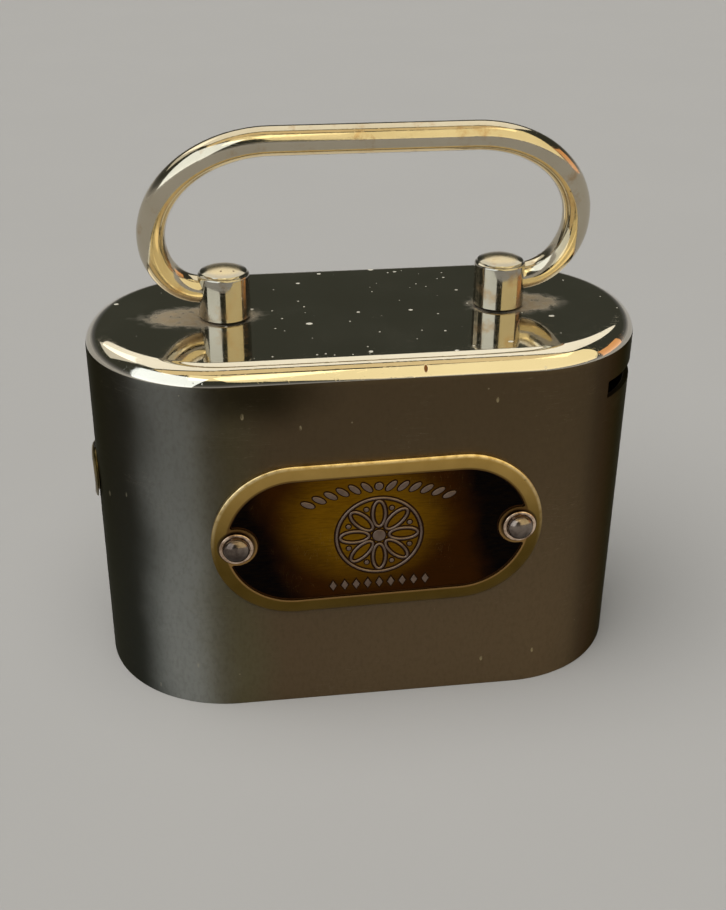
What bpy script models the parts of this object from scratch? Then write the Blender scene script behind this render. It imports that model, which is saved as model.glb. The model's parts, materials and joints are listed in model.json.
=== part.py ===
"""Oval savings bank: a deep-drawn case with a bail handle, a riveted name plate, a coin slot, a note hole
and a hinged, locking base.

Metres, +Z up. The design is drawn about the case's own axis, with z = 0 on the face it stands on, and the
whole assembly is then moved back by half of what stands proud of the front, so that the origin is the
bottom centre of the object's box. +X is the coin-slot end, -X the note-hole end, -Y the plate side.
"""

import math

import bmesh
import bpy

# Case: a drawn cup, open at the bottom, with an oval (stadium) plan.
CASE_LENGTH = 0.100
CASE_DEPTH = 0.048
CASE_HEIGHT = 0.0685
CASE_WALL = 0.0010
RIM_RADIUS = 0.0038
END_RADIUS = CASE_DEPTH / 2
END_CENTRE = CASE_LENGTH / 2 - END_RADIUS
GAP = 0.0003  # left between pieces that touch on the real object
CLEAR = 0.0005  # left round pieces that pass through a hole or move
JOIN = 0.0005  # how far pieces of one sub-part run into each other
CUT_REACH = 0.0050  # how far a cutter runs past the sheet that it cuts

# Posts and bail handle.
POST_X = 0.025
POST_RADIUS = 0.0046
POST_HEIGHT = 0.0095
STUD_RADIUS = 0.0020
STUD_HOLE = 0.0024
STUD_TAIL = 0.0008
# The post's softly domed top: share of its radius, and how far the top has dropped there.
POST_DOME = ((0.45, 0.0001), (0.74, 0.0004), (0.90, 0.0009), (0.98, 0.0016), (1.0, 0.0023))
BAIL_RADIUS = 0.00245
BAIL_HOLE = BAIL_RADIUS + GAP
BAIL_AXIS_Z = CASE_HEIGHT + 0.0054
BAIL_HALF_WIDTH = 0.0371
BAIL_RISE = 0.0305
BAIL_END_X = 0.0246
BAIL_BEND_X = 0.0287
BAIL_LOWER_RISE = 0.0115
BAIL_UPPER_RUN = 0.0202
BAIL_LEAN = math.radians(20)
WASHER_THICK = 0.0007
WASHER_RADIUS = 0.0045
NUT_THICK = 0.0025
NUT_RADIUS = 0.0040

# Name plate, on the flat of the -Y side.
PLATE_X = -0.0004
PLATE_Z = 0.0356
PLATE_TILT = math.radians(0.9)
PLATE_LENGTH = 0.0594
PLATE_HEIGHT = 0.0299
PLATE_THICK = 0.0008
PLATE_BORDER = 0.0026
PLATE_RECESS = 0.00035
PLATE_PAD_RADIUS = 0.0037
ORNAMENT_RAISE = 0.00015
ORNAMENT_THICK = 0.00040
ROSETTE_RADIUS = 0.0088
ROSETTE_LINE = 0.0008
ROSETTE_BOSS = 0.0018
PETALS = 8
PETAL_INNER = 0.0024
PETAL_OUTER = 0.0069
PETAL_HALF_WIDTH = 0.0013
RIVET_X = 0.0253
RIVET_SHANK = 0.0010
RIVET_HOLE = 0.0014
RIVET_HEAD_RADIUS = 0.0023
RIVET_HEAD_HEIGHT = 0.0013
RIVET_HEAD_STEPS = 5
RIVET_TAIL_RADII = (0.0017, 0.0014)
RIVET_TAIL_HEIGHT = 0.0006
RING_RADIUS = 0.0030
RING_THICK = 0.00035
BURR_RADIUS = 0.0026
BURR_THICK = 0.0006
WALL_FACE_Y = -CASE_DEPTH / 2
PLATE_BACK_Y = WALL_FACE_Y - GAP
PLATE_FACE_Y = PLATE_BACK_Y - PLATE_THICK
FIELD_Y = PLATE_FACE_Y + PLATE_RECESS
RING_FACE_Y = PLATE_FACE_Y - GAP - RING_THICK
RIVET_SEAT_Y = RING_FACE_Y - GAP
FRONT_PROUD = WALL_FACE_Y - (RIVET_SEAT_Y - RIVET_HEAD_HEIGHT)

# Coin slot and its guard, at the +X end.
SLOT_Z = 0.0586
SLOT_HEIGHT = 0.0032
SLOT_HALF_WIDTH = 0.0185
FLAP_X = 0.0330
FLAP_PIN_Z = 0.0624
FLAP_PIN_RADIUS = 0.0007
FLAP_KNUCKLE_RADIUS = 0.0014
FLAP_KNUCKLE_HOLE = 0.0010
FLAP_HALF_WIDTH = 0.0179
FLAP_KNUCKLE_START = 0.0062
FLAP_DROP = 0.0080
FLAP_THICK = 0.0008
PIN_HEAD = 0.0005
GUARD_EAR_Y = 0.0184
GUARD_SHEET = 0.0008
GUARD_HALF_LENGTH = 0.0025
GUARD_TOP_Z = CASE_HEIGHT - CASE_WALL - GAP
GUARD_EAR_BOTTOM_Z = 0.0607
FLAP_SPRING_RADIUS = 0.0018
FLAP_SPRING_WIRE = 0.0003
FLAP_SPRING_TURNS = 5
FLAP_SPRING_PITCH = 0.0011
FLAP_SPRING_TURN_STEPS = 10
FLAP_SPRING_UPPER_LEG_Z = 0.0036
FLAP_SPRING_LOWER_LEG_Z = (-0.0033, -0.0060)

# Note hole and its eyelet, at the -X end.
NOTE_Z = 0.0391
NOTE_BORE = 0.0034
NOTE_TUBE_RADIUS = 0.0040
NOTE_FLANGE_RADIUS = 0.0052
NOTE_FLANGE_THICK = 0.0005
NOTE_TUBE_LENGTH = 0.0042
NOTE_GUARD_DEPTH = 0.0110
NOTE_GUARD_HALF_WIDTH = 0.0060
NOTE_GUARD_SHEET = 0.0008
NOTE_GUARD_FLAT_Z = 0.0065
NOTE_GUARD_BEND_Z = 0.0115
NOTE_GUARD_FOOT_Z = 0.0160
NOTE_FLANGE_ARC = (150, 210)
NOTE_FLANGE_STEPS = 20

# Base: a ledge inside the case, a fixed end plate, and a lid hinged to it.
BASE_Z = 0.0017
BASE_SHEET = 0.0012
BASE_PLAY = 0.0008
LEDGE_Z = 0.0033
LEDGE_THICK = 0.0020
LEDGE_WIDTH = 0.0027
HINGE_X = -0.0420
HINGE_SETBACK = 0.0018
KNUCKLE_RADIUS = 0.0014
KNUCKLE_HOLE = 0.0009
HINGE_PIN_RADIUS = 0.0006
HINGE_HALF_WIDTH = 0.0130
LID_KNUCKLE_HALF = 0.0051
HINGE_PIN_HALF = 0.0138

# Lock on the lid: the cam's pin drives the bolt over the ledge. Stored unlocked, with the bolt drawn back.
LOCK_X = 0.0280
BARREL_FLANGE_RADIUS = 0.0070
BARREL_FLANGE_THICK = 0.0009
BARREL_CHAMFER = 0.0004
BARREL_RADIUS = 0.0055
BARREL_BORE = 0.0038
BARREL_TOP_Z = 0.0044
PLUG_RADIUS = 0.0034
PLUG_LOW_Z = 0.0007
KEYWAY_WIDTH = 0.0011
KEYWAY_LENGTH = 0.0046
KEYWAY_DEPTH = 0.0024
CAM_Z = 0.0047
CAM_THICK = 0.0008
CAM_RADIUS = 0.0048
CAM_PIN_THROW = 0.0028
CAM_PIN_RADIUS = 0.0008
CAM_REST_ANGLE = math.radians(-135)
BOLT_Z = 0.0058
BOLT_THICK = 0.0018
BOLT_HALF_WIDTH = 0.0050
BOLT_REAR_X = 0.0220
BOLT_TIP_X = 0.0439
LOCKCASE_X = (0.0190, 0.0420)
LOCKCASE_HALF_WIDTH = 0.0085
LOCKCASE_SHEET = 0.0008
LOCKCASE_BOTTOM_Z = BASE_Z + BASE_SHEET + GAP
LOCKCASE_TOP_Z = 0.0090
LUG_REACH = 0.0135
LUG_HALF_LENGTH = 0.0035
SCREW_X = 0.0285
SCREW_Y = 0.0112
SCREW_RADIUS = 0.0011
SCREW_HEAD_RADIUS = 0.0021
SCREW_HEAD_HEIGHT = 0.0013
SCREW_HEAD_FLAT = 0.7  # share of the head's radius that is flat on top

# How finely round shapes are divided.
CASE_ARC_STEPS = 28
PLATE_ARC_STEPS = 20
ROUND_STEPS = 24
SMALL_STEPS = 16
BEND_STEPS = 9
RIM_STEPS = 5
SMOOTH_ANGLE = math.radians(40)
WELD = 0.00001

COLOURS = {
    "satin_nickel": ((0.30, 0.27, 0.23), 0.28, 1.0),
    "polished_nickel": ((0.78, 0.72, 0.60), 0.10, 1.0),
    "brass": ((0.42, 0.29, 0.09), 0.35, 1.0),
    "copper": ((0.45, 0.24, 0.14), 0.40, 1.0),
    "dark_steel": ((0.20, 0.18, 0.16), 0.35, 1.0),
    "zinc_steel": ((0.45, 0.46, 0.47), 0.45, 1.0),
    "spring_steel": ((0.28, 0.28, 0.30), 0.35, 1.0),
}


# ---------------------------------------------------------------- scene and material helpers


def clear_scene():
    for obj in list(bpy.data.objects):
        bpy.data.objects.remove(obj, do_unlink=True)


def new_collection(name):
    collection = bpy.data.collections.new(name)
    bpy.context.scene.collection.children.link(collection)
    return collection


def metal(name):
    """The material of that name in COLOURS, made the first time it is asked for."""
    if name in bpy.data.materials:
        return bpy.data.materials[name]
    colour, roughness, metallic = COLOURS[name]
    material = bpy.data.materials.new(name)
    material.use_nodes = True
    shader = material.node_tree.nodes["Principled BSDF"]
    shader.inputs["Base Color"].default_value = (*colour, 1)
    shader.inputs["Roughness"].default_value = roughness
    shader.inputs["Metallic"].default_value = metallic
    return material


def add_object(name, data, collection, material=None):
    obj = bpy.data.objects.new(name, data)
    collection.objects.link(obj)
    obj.parent = ASSEMBLY
    if material:
        data.materials.append(metal(material))
    return obj


def shade(mesh):
    mesh.shade_smooth()
    mesh.set_sharp_from_angle(angle=SMOOTH_ANGLE)


def as_part(obj, name, material):
    """Makes a cutter into a sub-part."""
    CUTTERS.objects.unlink(obj)
    PARTS.objects.link(obj)
    obj.name = name
    obj.hide_render = False
    obj.display_type = "TEXTURED"
    obj.data.materials.append(metal(material))
    if obj.type == "MESH":
        shade(obj.data)
    return obj


def tool(name, data):
    obj = add_object(name, data, CUTTERS)
    obj.hide_render = True
    obj.display_type = "WIRE"
    return obj


def boolean(obj, operation, other):
    modifier = obj.modifiers.new(other.name, "BOOLEAN")
    modifier.operation = operation
    modifier.solver = "EXACT"
    modifier.object = other


# ---------------------------------------------------------------- shape helpers


def arc(centre_x, centre_y, radius, start, end, steps):
    """Points on an arc, both ends included; angles in degrees."""
    angles = [math.radians(start + (end - start) * i / steps) for i in range(steps + 1)]
    return [(centre_x + radius * math.cos(a), centre_y + radius * math.sin(a)) for a in angles]


def rotated(x, y, angle):
    return (x * math.cos(angle) - y * math.sin(angle), x * math.sin(angle) + y * math.cos(angle))


def circle(radius, steps=ROUND_STEPS):
    return arc(0, 0, radius, 0, 360 - 360 / steps, steps - 1)


def stadium(length, width, steps):
    centre = (length - width) / 2
    right = arc(centre, 0, width / 2, -90, 90, steps)
    left = arc(-centre, 0, width / 2, 90, 270, steps)
    return right + left


def outline_curve(name, loops, thickness, fill="BOTH"):
    """A flat outline, the loops after the first being holes, thickened along its own z."""
    curve = bpy.data.curves.new(name, "CURVE")
    curve.dimensions = "2D"
    curve.fill_mode = fill
    curve.extrude = thickness / 2
    for points in loops:
        spline = curve.splines.new("POLY")
        spline.points.add(len(points) - 1)
        for point, (x, y) in zip(spline.points, points):
            point.co = (x, y, 0, 1)
        spline.use_cyclic_u = True
    return curve


def meshed(curve_obj):
    """Replaces a curve object by the same shape as a mesh, with its caps welded on."""
    bpy.context.view_layer.update()
    graph = bpy.context.evaluated_depsgraph_get()
    mesh = bpy.data.meshes.new_from_object(curve_obj.evaluated_get(graph))
    work = bmesh.new()
    work.from_mesh(mesh)
    bmesh.ops.remove_doubles(work, verts=work.verts, dist=WELD)
    bmesh.ops.dissolve_limit(work, angle_limit=math.radians(0.5), verts=work.verts, edges=work.edges)
    bmesh.ops.recalc_face_normals(work, faces=work.faces)
    work.to_mesh(mesh)
    work.free()
    name = curve_obj.name
    collection = curve_obj.users_collection[0]
    matrix = curve_obj.matrix_local.copy()
    hidden = curve_obj.hide_render
    bpy.data.objects.remove(curve_obj, do_unlink=True)
    obj = add_object(name, mesh, collection)
    obj.matrix_local = matrix
    obj.hide_render = hidden
    obj.display_type = "WIRE" if hidden else "TEXTURED"
    return obj


def flat_tool(name, loops, thickness, location, rotation=(0, 0, 0)):
    """A flat mesh solid whose low z face starts at location, before it is rotated."""
    obj = tool(name, outline_curve(name, loops, thickness))
    obj.rotation_euler = rotation
    obj.location = location
    return meshed(obj)


def box_tool(name, low, high):
    mesh = bpy.data.meshes.new(name)
    work = bmesh.new()
    bmesh.ops.create_cube(work, size=1)
    for vert in work.verts:
        vert.co = [a + (b - a) * (c + 0.5) for a, b, c in zip(low, high, vert.co)]
    work.to_mesh(mesh)
    work.free()
    return tool(name, mesh)


def rod_tool(name, radius, start, end, axis="Z", centre=(0, 0), steps=ROUND_STEPS):
    """A cylinder from start to end along an axis; centre holds its other two coordinates, in order."""
    mesh = bpy.data.meshes.new(name)
    work = bmesh.new()
    bmesh.ops.create_cone(
        work, cap_ends=True, segments=steps, radius1=radius, radius2=radius, depth=end - start
    )
    work.to_mesh(mesh)
    work.free()
    obj = tool(name, mesh)
    middle = (start + end) / 2
    if axis == "X":
        obj.rotation_euler.y = math.pi / 2
        obj.location = (middle, *centre)
    elif axis == "Y":
        obj.rotation_euler.x = math.pi / 2
        obj.location = (centre[0], middle, centre[1])
    else:
        obj.location = (*centre, middle)
    return obj


def turned(name, profile, material, steps=ROUND_STEPS):
    """A profile of (radius, z) points, from top to bottom on the outside, turned about its own z axis."""
    mesh = bpy.data.meshes.new(name)
    verts = [(radius, 0, z) for radius, z in profile]
    mesh.from_pydata(verts, [(i, i + 1) for i in range(len(verts) - 1)], [])
    obj = add_object(name, mesh, PARTS, material)
    screw = obj.modifiers.new("Turn", "SCREW")
    screw.steps = steps
    screw.render_steps = steps
    screw.use_merge_vertices = True
    screw.merge_threshold = WELD
    screw.use_smooth_shade = True
    return obj


def washer(name, radius, hole, thickness, z, x, material, steps=ROUND_STEPS):
    """A flat ring, or a nut when steps is 6, lying level at height z."""
    loops = [circle(radius, steps), circle(hole, SMALL_STEPS)]
    obj = add_object(name, outline_curve(name, loops, thickness), PARTS, material)
    obj.location = (x, 0, z + thickness / 2)
    return obj


# ---------------------------------------------------------------- case


def make_body_shell():
    outline = stadium(CASE_LENGTH, CASE_DEPTH, CASE_ARC_STEPS)
    curve = outline_curve("body_shell", [outline], CASE_HEIGHT, fill="FRONT")
    shell = add_object("body_shell", curve, PARTS)
    shell.location.z = CASE_HEIGHT / 2
    shell = meshed(shell)
    shell.data.materials.append(metal("satin_nickel"))
    rim = shell.modifiers.new("Rim", "BEVEL")
    rim.width = RIM_RADIUS
    rim.segments = RIM_STEPS
    rim.limit_method = "ANGLE"
    rim.angle_limit = math.radians(60)
    wall = shell.modifiers.new("Wall", "SOLIDIFY")
    wall.thickness = CASE_WALL
    wall.offset = -1
    wall.use_even_offset = True
    for cutter in shell_cutters():
        boolean(shell, "DIFFERENCE", cutter)
    shade(shell.data)
    return shell


def shell_cutters():
    end = CASE_LENGTH / 2
    yield box_tool(
        "cut_coin_slot",
        (FLAP_X + CUT_REACH, -SLOT_HALF_WIDTH, SLOT_Z - SLOT_HEIGHT / 2),
        (end + CUT_REACH, SLOT_HALF_WIDTH, SLOT_Z + SLOT_HEIGHT / 2),
    )
    note_hole = NOTE_TUBE_RADIUS + GAP
    yield rod_tool("cut_note_hole", note_hole, -end - CUT_REACH, -end + CUT_REACH, "X", (0, NOTE_Z))
    for side, x in (("left", -POST_X), ("right", POST_X)):
        low, high = CASE_HEIGHT - CUT_REACH, CASE_HEIGHT + CUT_REACH
        yield rod_tool(f"cut_{side}_stud", STUD_HOLE, low, high, "Z", (x, 0))
    for side, along in (("left", -RIVET_X), ("right", RIVET_X)):
        low, high = WALL_FACE_Y - CUT_REACH, WALL_FACE_Y + CUT_REACH
        yield rod_tool(f"cut_{side}_rivet", RIVET_HOLE, low, high, "Y", on_plate(along), SMALL_STEPS)


# ---------------------------------------------------------------- posts and handle


def make_post(side, x):
    """A post with a softly domed top, and the stud below it that goes through the case."""
    stud_end = -CASE_WALL - GAP - WASHER_THICK - GAP - NUT_THICK - STUD_TAIL
    dome = [(POST_RADIUS * share, POST_HEIGHT - drop) for share, drop in POST_DOME]
    stud = [(POST_RADIUS, GAP), (STUD_RADIUS, GAP), (STUD_RADIUS, stud_end), (0, stud_end)]
    post = turned(f"{side}_post", [(0, POST_HEIGHT)] + dome + stud, "polished_nickel")
    post.location = (x, 0, CASE_HEIGHT)
    outward = math.copysign(1, x)
    ends = sorted((outward * (BAIL_END_X - CLEAR), outward * (POST_X + 2 * POST_RADIUS)))
    hole = rod_tool(f"cut_{side}_bail", BAIL_HOLE, *ends, "X", (0, BAIL_AXIS_Z))
    boolean(post, "DIFFERENCE", hole)
    top = CASE_HEIGHT - CASE_WALL - GAP
    washer(f"{side}_post_washer", WASHER_RADIUS, STUD_HOLE, WASHER_THICK, top - WASHER_THICK, x, "zinc_steel")
    nut_z = top - WASHER_THICK - GAP - NUT_THICK
    washer(f"{side}_post_nut", NUT_RADIUS, STUD_HOLE, NUT_THICK, nut_z, x, "zinc_steel", steps=6)


def bail_half():
    """The handle's centre line from its pivot end to the top's middle, in its own x-z plane, +X side."""
    lower_run = BAIL_HALF_WIDTH - BAIL_BEND_X
    upper_rise = BAIL_RISE - BAIL_LOWER_RISE
    points = [(BAIL_END_X, 0)]
    for i in range(BEND_STEPS + 1):
        a = math.pi / 2 * i / BEND_STEPS
        points.append((BAIL_BEND_X + lower_run * math.sin(a), BAIL_LOWER_RISE * (1 - math.cos(a))))
    for i in range(1, BEND_STEPS + 1):
        a = math.pi / 2 * i / BEND_STEPS
        x = BAIL_HALF_WIDTH - BAIL_UPPER_RUN * (1 - math.cos(a))
        points.append((x, BAIL_LOWER_RISE + upper_rise * math.sin(a)))
    return points


def make_handle():
    half = bail_half()
    path = half + [(-x, z) for x, z in reversed(half)]
    curve = bpy.data.curves.new("handle_bail", "CURVE")
    curve.dimensions = "3D"
    curve.bevel_depth = BAIL_RADIUS
    curve.bevel_resolution = 4
    curve.use_fill_caps = True
    spline = curve.splines.new("POLY")
    spline.points.add(len(path) - 1)
    for point, (x, z) in zip(spline.points, path):
        point.co = (x, 0, z, 1)
    handle = add_object("handle_bail", curve, PARTS, "polished_nickel")
    handle.location.z = BAIL_AXIS_Z
    handle.rotation_euler.x = BAIL_LEAN
    return handle


# ---------------------------------------------------------------- name plate


def on_plate(along):
    """X and Z of the point this far along the plate's middle line, which is riveted on a little askew."""
    return PLATE_X + along * math.cos(PLATE_TILT), PLATE_Z + along * math.sin(PLATE_TILT)


def plate_tool(name, loops, thickness, middle_y, along=0):
    """A flat solid upright in the plate's plane, this far along its middle line."""
    x, z = on_plate(along)
    return flat_tool(name, loops, thickness, (x, middle_y, z), (math.pi / 2, -PLATE_TILT, 0))


def ornament_tools():
    """A plain raised ring with petals round a boss, standing a little proud of the sunk field."""
    middle_y = FIELD_Y - ORNAMENT_RAISE + ORNAMENT_THICK / 2
    ring = [circle(ROSETTE_RADIUS), circle(ROSETTE_RADIUS - ROSETTE_LINE)]
    yield plate_tool("add_plate_ring", ring, ORNAMENT_THICK, middle_y)
    yield plate_tool("add_plate_boss", [circle(ROSETTE_BOSS)], ORNAMENT_THICK, middle_y)
    middle = (PETAL_INNER + PETAL_OUTER) / 2
    petal = [(PETAL_INNER, 0), (middle, PETAL_HALF_WIDTH), (PETAL_OUTER, 0), (middle, -PETAL_HALF_WIDTH)]
    for i in range(PETALS):
        angle = 2 * math.pi * i / PETALS
        loop = [rotated(x, y, angle) for x, y in petal]
        yield plate_tool(f"add_petal_{i}", [loop], ORNAMENT_THICK, middle_y)


def make_name_plate():
    """A stadium plate: a raised border and two pads at the rivets, round a sunk field with a rosette."""
    outline = stadium(PLATE_LENGTH, PLATE_HEIGHT, PLATE_ARC_STEPS)
    plate = plate_tool("plate_blank", [outline], PLATE_THICK, PLATE_BACK_Y - PLATE_THICK / 2)
    plate = as_part(plate, "name_plate", "brass")
    inner = stadium(PLATE_LENGTH - 2 * PLATE_BORDER, PLATE_HEIGHT - 2 * PLATE_BORDER, PLATE_ARC_STEPS)
    field = plate_tool("cut_plate_field", [inner], CUT_REACH, FIELD_Y - CUT_REACH / 2)
    for side, x in (("left", -RIVET_X), ("right", RIVET_X)):
        pad = plate_tool(f"keep_{side}_pad", [circle(PLATE_PAD_RADIUS)], 3 * CUT_REACH, FIELD_Y, x)
        boolean(field, "DIFFERENCE", pad)
    boolean(plate, "DIFFERENCE", field)
    for ornament in ornament_tools():
        boolean(plate, "UNION", ornament)
    for side, x in (("left", -RIVET_X), ("right", RIVET_X)):
        outline = circle(RIVET_HOLE, SMALL_STEPS)
        boolean(plate, "DIFFERENCE", plate_tool(f"cut_{side}_plate_hole", [outline], CUT_REACH, FIELD_Y, x))
    return plate


def make_plate_fastening(side, along):
    """A domed rivet, the ring under its head and the burr that it is closed over inside the case."""
    x, z = on_plate(along)
    inside = WALL_FACE_Y + CASE_WALL + GAP
    head = [
        (RIVET_HEAD_RADIUS * math.sin(a), RIVET_HEAD_HEIGHT * math.cos(a))
        for a in [math.pi / 2 * i / RIVET_HEAD_STEPS for i in range(RIVET_HEAD_STEPS + 1)]
    ]
    tail = -(inside + BURR_THICK + GAP - RIVET_SEAT_Y)
    end = tail - RIVET_TAIL_HEIGHT
    wide, narrow = RIVET_TAIL_RADII
    shank = [(RIVET_SHANK, 0), (RIVET_SHANK, tail), (wide, tail), (narrow, end), (0, end)]
    rivet = turned(f"{side}_plate_rivet", head + shank, "dark_steel", SMALL_STEPS)
    rivet.rotation_euler.x = math.pi / 2
    rivet.location = (x, RIVET_SEAT_Y, z)
    for name, radius, thick, y, material in (
        (f"{side}_rivet_ring", RING_RADIUS, RING_THICK, RING_FACE_Y + RING_THICK / 2, "copper"),
        (f"{side}_rivet_burr", BURR_RADIUS, BURR_THICK, inside + BURR_THICK / 2, "copper"),
    ):
        loops = [circle(radius), circle(RIVET_HOLE, SMALL_STEPS)]
        ring = add_object(name, outline_curve(name, loops, thick), PARTS, material)
        ring.rotation_euler.x = math.pi / 2
        ring.location = (x, y, z)


# ---------------------------------------------------------------- coin slot guard


def make_coin_guard():
    """A bridge welded under the top, with two ears that carry the flap's pin."""
    web_low = GUARD_TOP_Z - GUARD_SHEET
    outer = GUARD_EAR_Y + GUARD_SHEET
    low_x = FLAP_X - GUARD_HALF_LENGTH
    high_x = FLAP_X + GUARD_HALF_LENGTH
    guard = box_tool("guard_web", (low_x, -outer, web_low), (high_x, outer, GUARD_TOP_Z))
    guard = as_part(guard, "coin_guard", "zinc_steel")
    for side, low_y, high_y in (("left", -outer, -GUARD_EAR_Y), ("right", GUARD_EAR_Y, outer)):
        top = GUARD_TOP_Z - GUARD_SHEET / 2
        ear = box_tool(f"add_{side}_ear", (low_x, low_y, GUARD_EAR_BOTTOM_Z), (high_x, high_y, top))
        boolean(guard, "UNION", ear)
    boolean(guard, "DIFFERENCE", flap_bore("cut_ear_bores"))
    return guard


def flap_bore(name):
    reach = CASE_DEPTH / 2
    return rod_tool(name, FLAP_KNUCKLE_HOLE, -reach, reach, "Y", (FLAP_X, FLAP_PIN_Z), SMALL_STEPS)


def make_coin_flap():
    """The flap behind the slot, hung on two knuckles that leave room for the spring between them."""
    leaf = box_tool(
        "flap_leaf",
        (FLAP_X - FLAP_THICK / 2, -FLAP_HALF_WIDTH, FLAP_PIN_Z - FLAP_DROP),
        (FLAP_X + FLAP_THICK / 2, FLAP_HALF_WIDTH, FLAP_PIN_Z - FLAP_SPRING_RADIUS - 2 * FLAP_SPRING_WIRE),
    )
    flap = as_part(leaf, "coin_flap", "zinc_steel")
    half = FLAP_THICK / 2
    for side, low_y, high_y in (
        ("left", -FLAP_HALF_WIDTH, -FLAP_KNUCKLE_START),
        ("right", FLAP_KNUCKLE_START, FLAP_HALF_WIDTH),
    ):
        strap_low = FLAP_PIN_Z - FLAP_DROP / 2
        corners = (FLAP_X - half, low_y, strap_low), (FLAP_X + half, high_y, FLAP_PIN_Z)
        strap = box_tool(f"add_{side}_strap", *corners)
        axis = (FLAP_X, FLAP_PIN_Z)
        knuckle = rod_tool(f"add_{side}_knuckle", FLAP_KNUCKLE_RADIUS, low_y, high_y, "Y", axis, SMALL_STEPS)
        boolean(flap, "UNION", strap)
        boolean(flap, "UNION", knuckle)
    boolean(flap, "DIFFERENCE", flap_bore("cut_flap_bore"))
    set_origin(flap, (FLAP_X, 0, FLAP_PIN_Z))
    return flap


def headed_pin(name, radius, head_radius, reach, x, z):
    """A pin along Y with a thin head on each end, outside reach."""
    end = reach + PIN_HEAD
    upper = [(0, end), (head_radius, end), (head_radius, reach), (radius, reach)]
    profile = upper + [(r, -height) for r, height in reversed(upper)]
    pin = turned(name, profile, "zinc_steel", SMALL_STEPS)
    pin.rotation_euler.x = math.pi / 2
    pin.location = (x, 0, z)


def make_coin_flap_pin():
    reach = GUARD_EAR_Y + GUARD_SHEET + GAP
    headed_pin("coin_flap_pin", FLAP_PIN_RADIUS, FLAP_KNUCKLE_RADIUS, reach, FLAP_X, FLAP_PIN_Z)


def make_coin_flap_spring():
    """A coil round the pin; one leg rests under the guard, the other on the flap's inner face."""
    half_length = FLAP_SPRING_TURNS * FLAP_SPRING_PITCH / 2
    points = [(-FLAP_SPRING_RADIUS, -half_length, FLAP_SPRING_UPPER_LEG_Z)]
    for i in range(FLAP_SPRING_TURNS * FLAP_SPRING_TURN_STEPS + 1):
        a = math.pi - 2 * math.pi * i / FLAP_SPRING_TURN_STEPS
        y = -half_length + FLAP_SPRING_PITCH * i / FLAP_SPRING_TURN_STEPS
        points.append((FLAP_SPRING_RADIUS * math.cos(a), y, FLAP_SPRING_RADIUS * math.sin(a)))
    leg_x = -FLAP_THICK / 2 - FLAP_SPRING_WIRE - GAP
    points += [(leg_x, half_length, z) for z in FLAP_SPRING_LOWER_LEG_Z]
    curve = bpy.data.curves.new("coin_flap_spring", "CURVE")
    curve.dimensions = "3D"
    curve.bevel_depth = FLAP_SPRING_WIRE
    curve.bevel_resolution = 2
    curve.use_fill_caps = True
    spline = curve.splines.new("POLY")
    spline.points.add(len(points) - 1)
    for point, (x, y, z) in zip(spline.points, points):
        point.co = (x, y, z, 1)
    spring = add_object("coin_flap_spring", curve, PARTS, "spring_steel")
    spring.location = (FLAP_X, 0, FLAP_PIN_Z)


def set_origin(obj, origin):
    """Moves an unrotated mesh object's origin, leaving its shape where it is."""
    shift = [o - p for o, p in zip(origin, obj.location)]
    for vert in obj.data.vertices:
        vert.co = [c - s for c, s in zip(vert.co, shift)]
    obj.location = origin


# ---------------------------------------------------------------- note hole


def make_note_eyelet():
    """A brass eyelet: a flange curved to the case's end, and a tube through the wall."""
    seat = END_RADIUS + GAP
    sheet = [stadium_end(seat + NOTE_FLANGE_THICK, seat)]
    flange = flat_tool("eyelet_flange", sheet, 4 * NOTE_FLANGE_RADIUS, (-END_CENTRE, 0, NOTE_Z))
    eyelet = as_part(flange, "note_eyelet", "brass")
    end = -END_CENTRE - seat
    axis = (0, NOTE_Z)
    disc = rod_tool("keep_eyelet_disc", NOTE_FLANGE_RADIUS, end - CUT_REACH, end + CUT_REACH, "X", axis)
    boolean(eyelet, "INTERSECT", disc)
    tube_start = end - NOTE_FLANGE_THICK / 2
    tube_end = tube_start + NOTE_TUBE_LENGTH
    tube = rod_tool("add_eyelet_tube", NOTE_TUBE_RADIUS, tube_start, tube_end, "X", axis)
    boolean(eyelet, "UNION", tube)
    bore = rod_tool("cut_eyelet_bore", NOTE_BORE, end - CUT_REACH, end + 2 * CUT_REACH, "X", axis)
    boolean(eyelet, "DIFFERENCE", bore)
    return eyelet


def stadium_end(outer, inner):
    """A thick arc that follows the case's -X end, as one closed loop about the end's centre."""
    start, end = NOTE_FLANGE_ARC
    return arc(0, 0, outer, start, end, NOTE_FLANGE_STEPS) + arc(0, 0, inner, end, start, NOTE_FLANGE_STEPS)


def make_note_guard():
    """A bent strap behind the note hole, its feet welded to the end wall above and below it."""
    inside_radius = END_RADIUS - CASE_WALL - GAP
    wall = -END_CENTRE - math.sqrt(inside_radius**2 - NOTE_GUARD_HALF_WIDTH**2)
    inner = wall + NOTE_GUARD_DEPTH
    upper = [(wall, NOTE_GUARD_FOOT_Z), (wall, NOTE_GUARD_BEND_Z), (inner, NOTE_GUARD_FLAT_Z)]
    route = [(x, NOTE_Z + z) for x, z in upper] + [(x, NOTE_Z - z) for x, z in reversed(upper)]
    loop = route + [(x + NOTE_GUARD_SHEET, z) for x, z in reversed(route)]
    curve = outline_curve("note_guard", [loop], 2 * NOTE_GUARD_HALF_WIDTH)
    guard = add_object("note_guard", curve, PARTS, "zinc_steel")
    guard.rotation_euler.x = math.pi / 2
    return guard


# ---------------------------------------------------------------- base


def inner_stadium(inset, steps=CASE_ARC_STEPS):
    """The case's inside outline, drawn in by inset."""
    margin = 2 * (CASE_WALL + inset)
    return stadium(CASE_LENGTH - margin, CASE_DEPTH - margin, steps)


def make_base_ledge():
    loops = [inner_stadium(GAP), inner_stadium(GAP + LEDGE_WIDTH)]
    ledge = add_object("base_ledge", outline_curve("base_ledge", loops, LEDGE_THICK), PARTS, "zinc_steel")
    ledge.location.z = LEDGE_Z + LEDGE_THICK / 2
    return ledge


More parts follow.
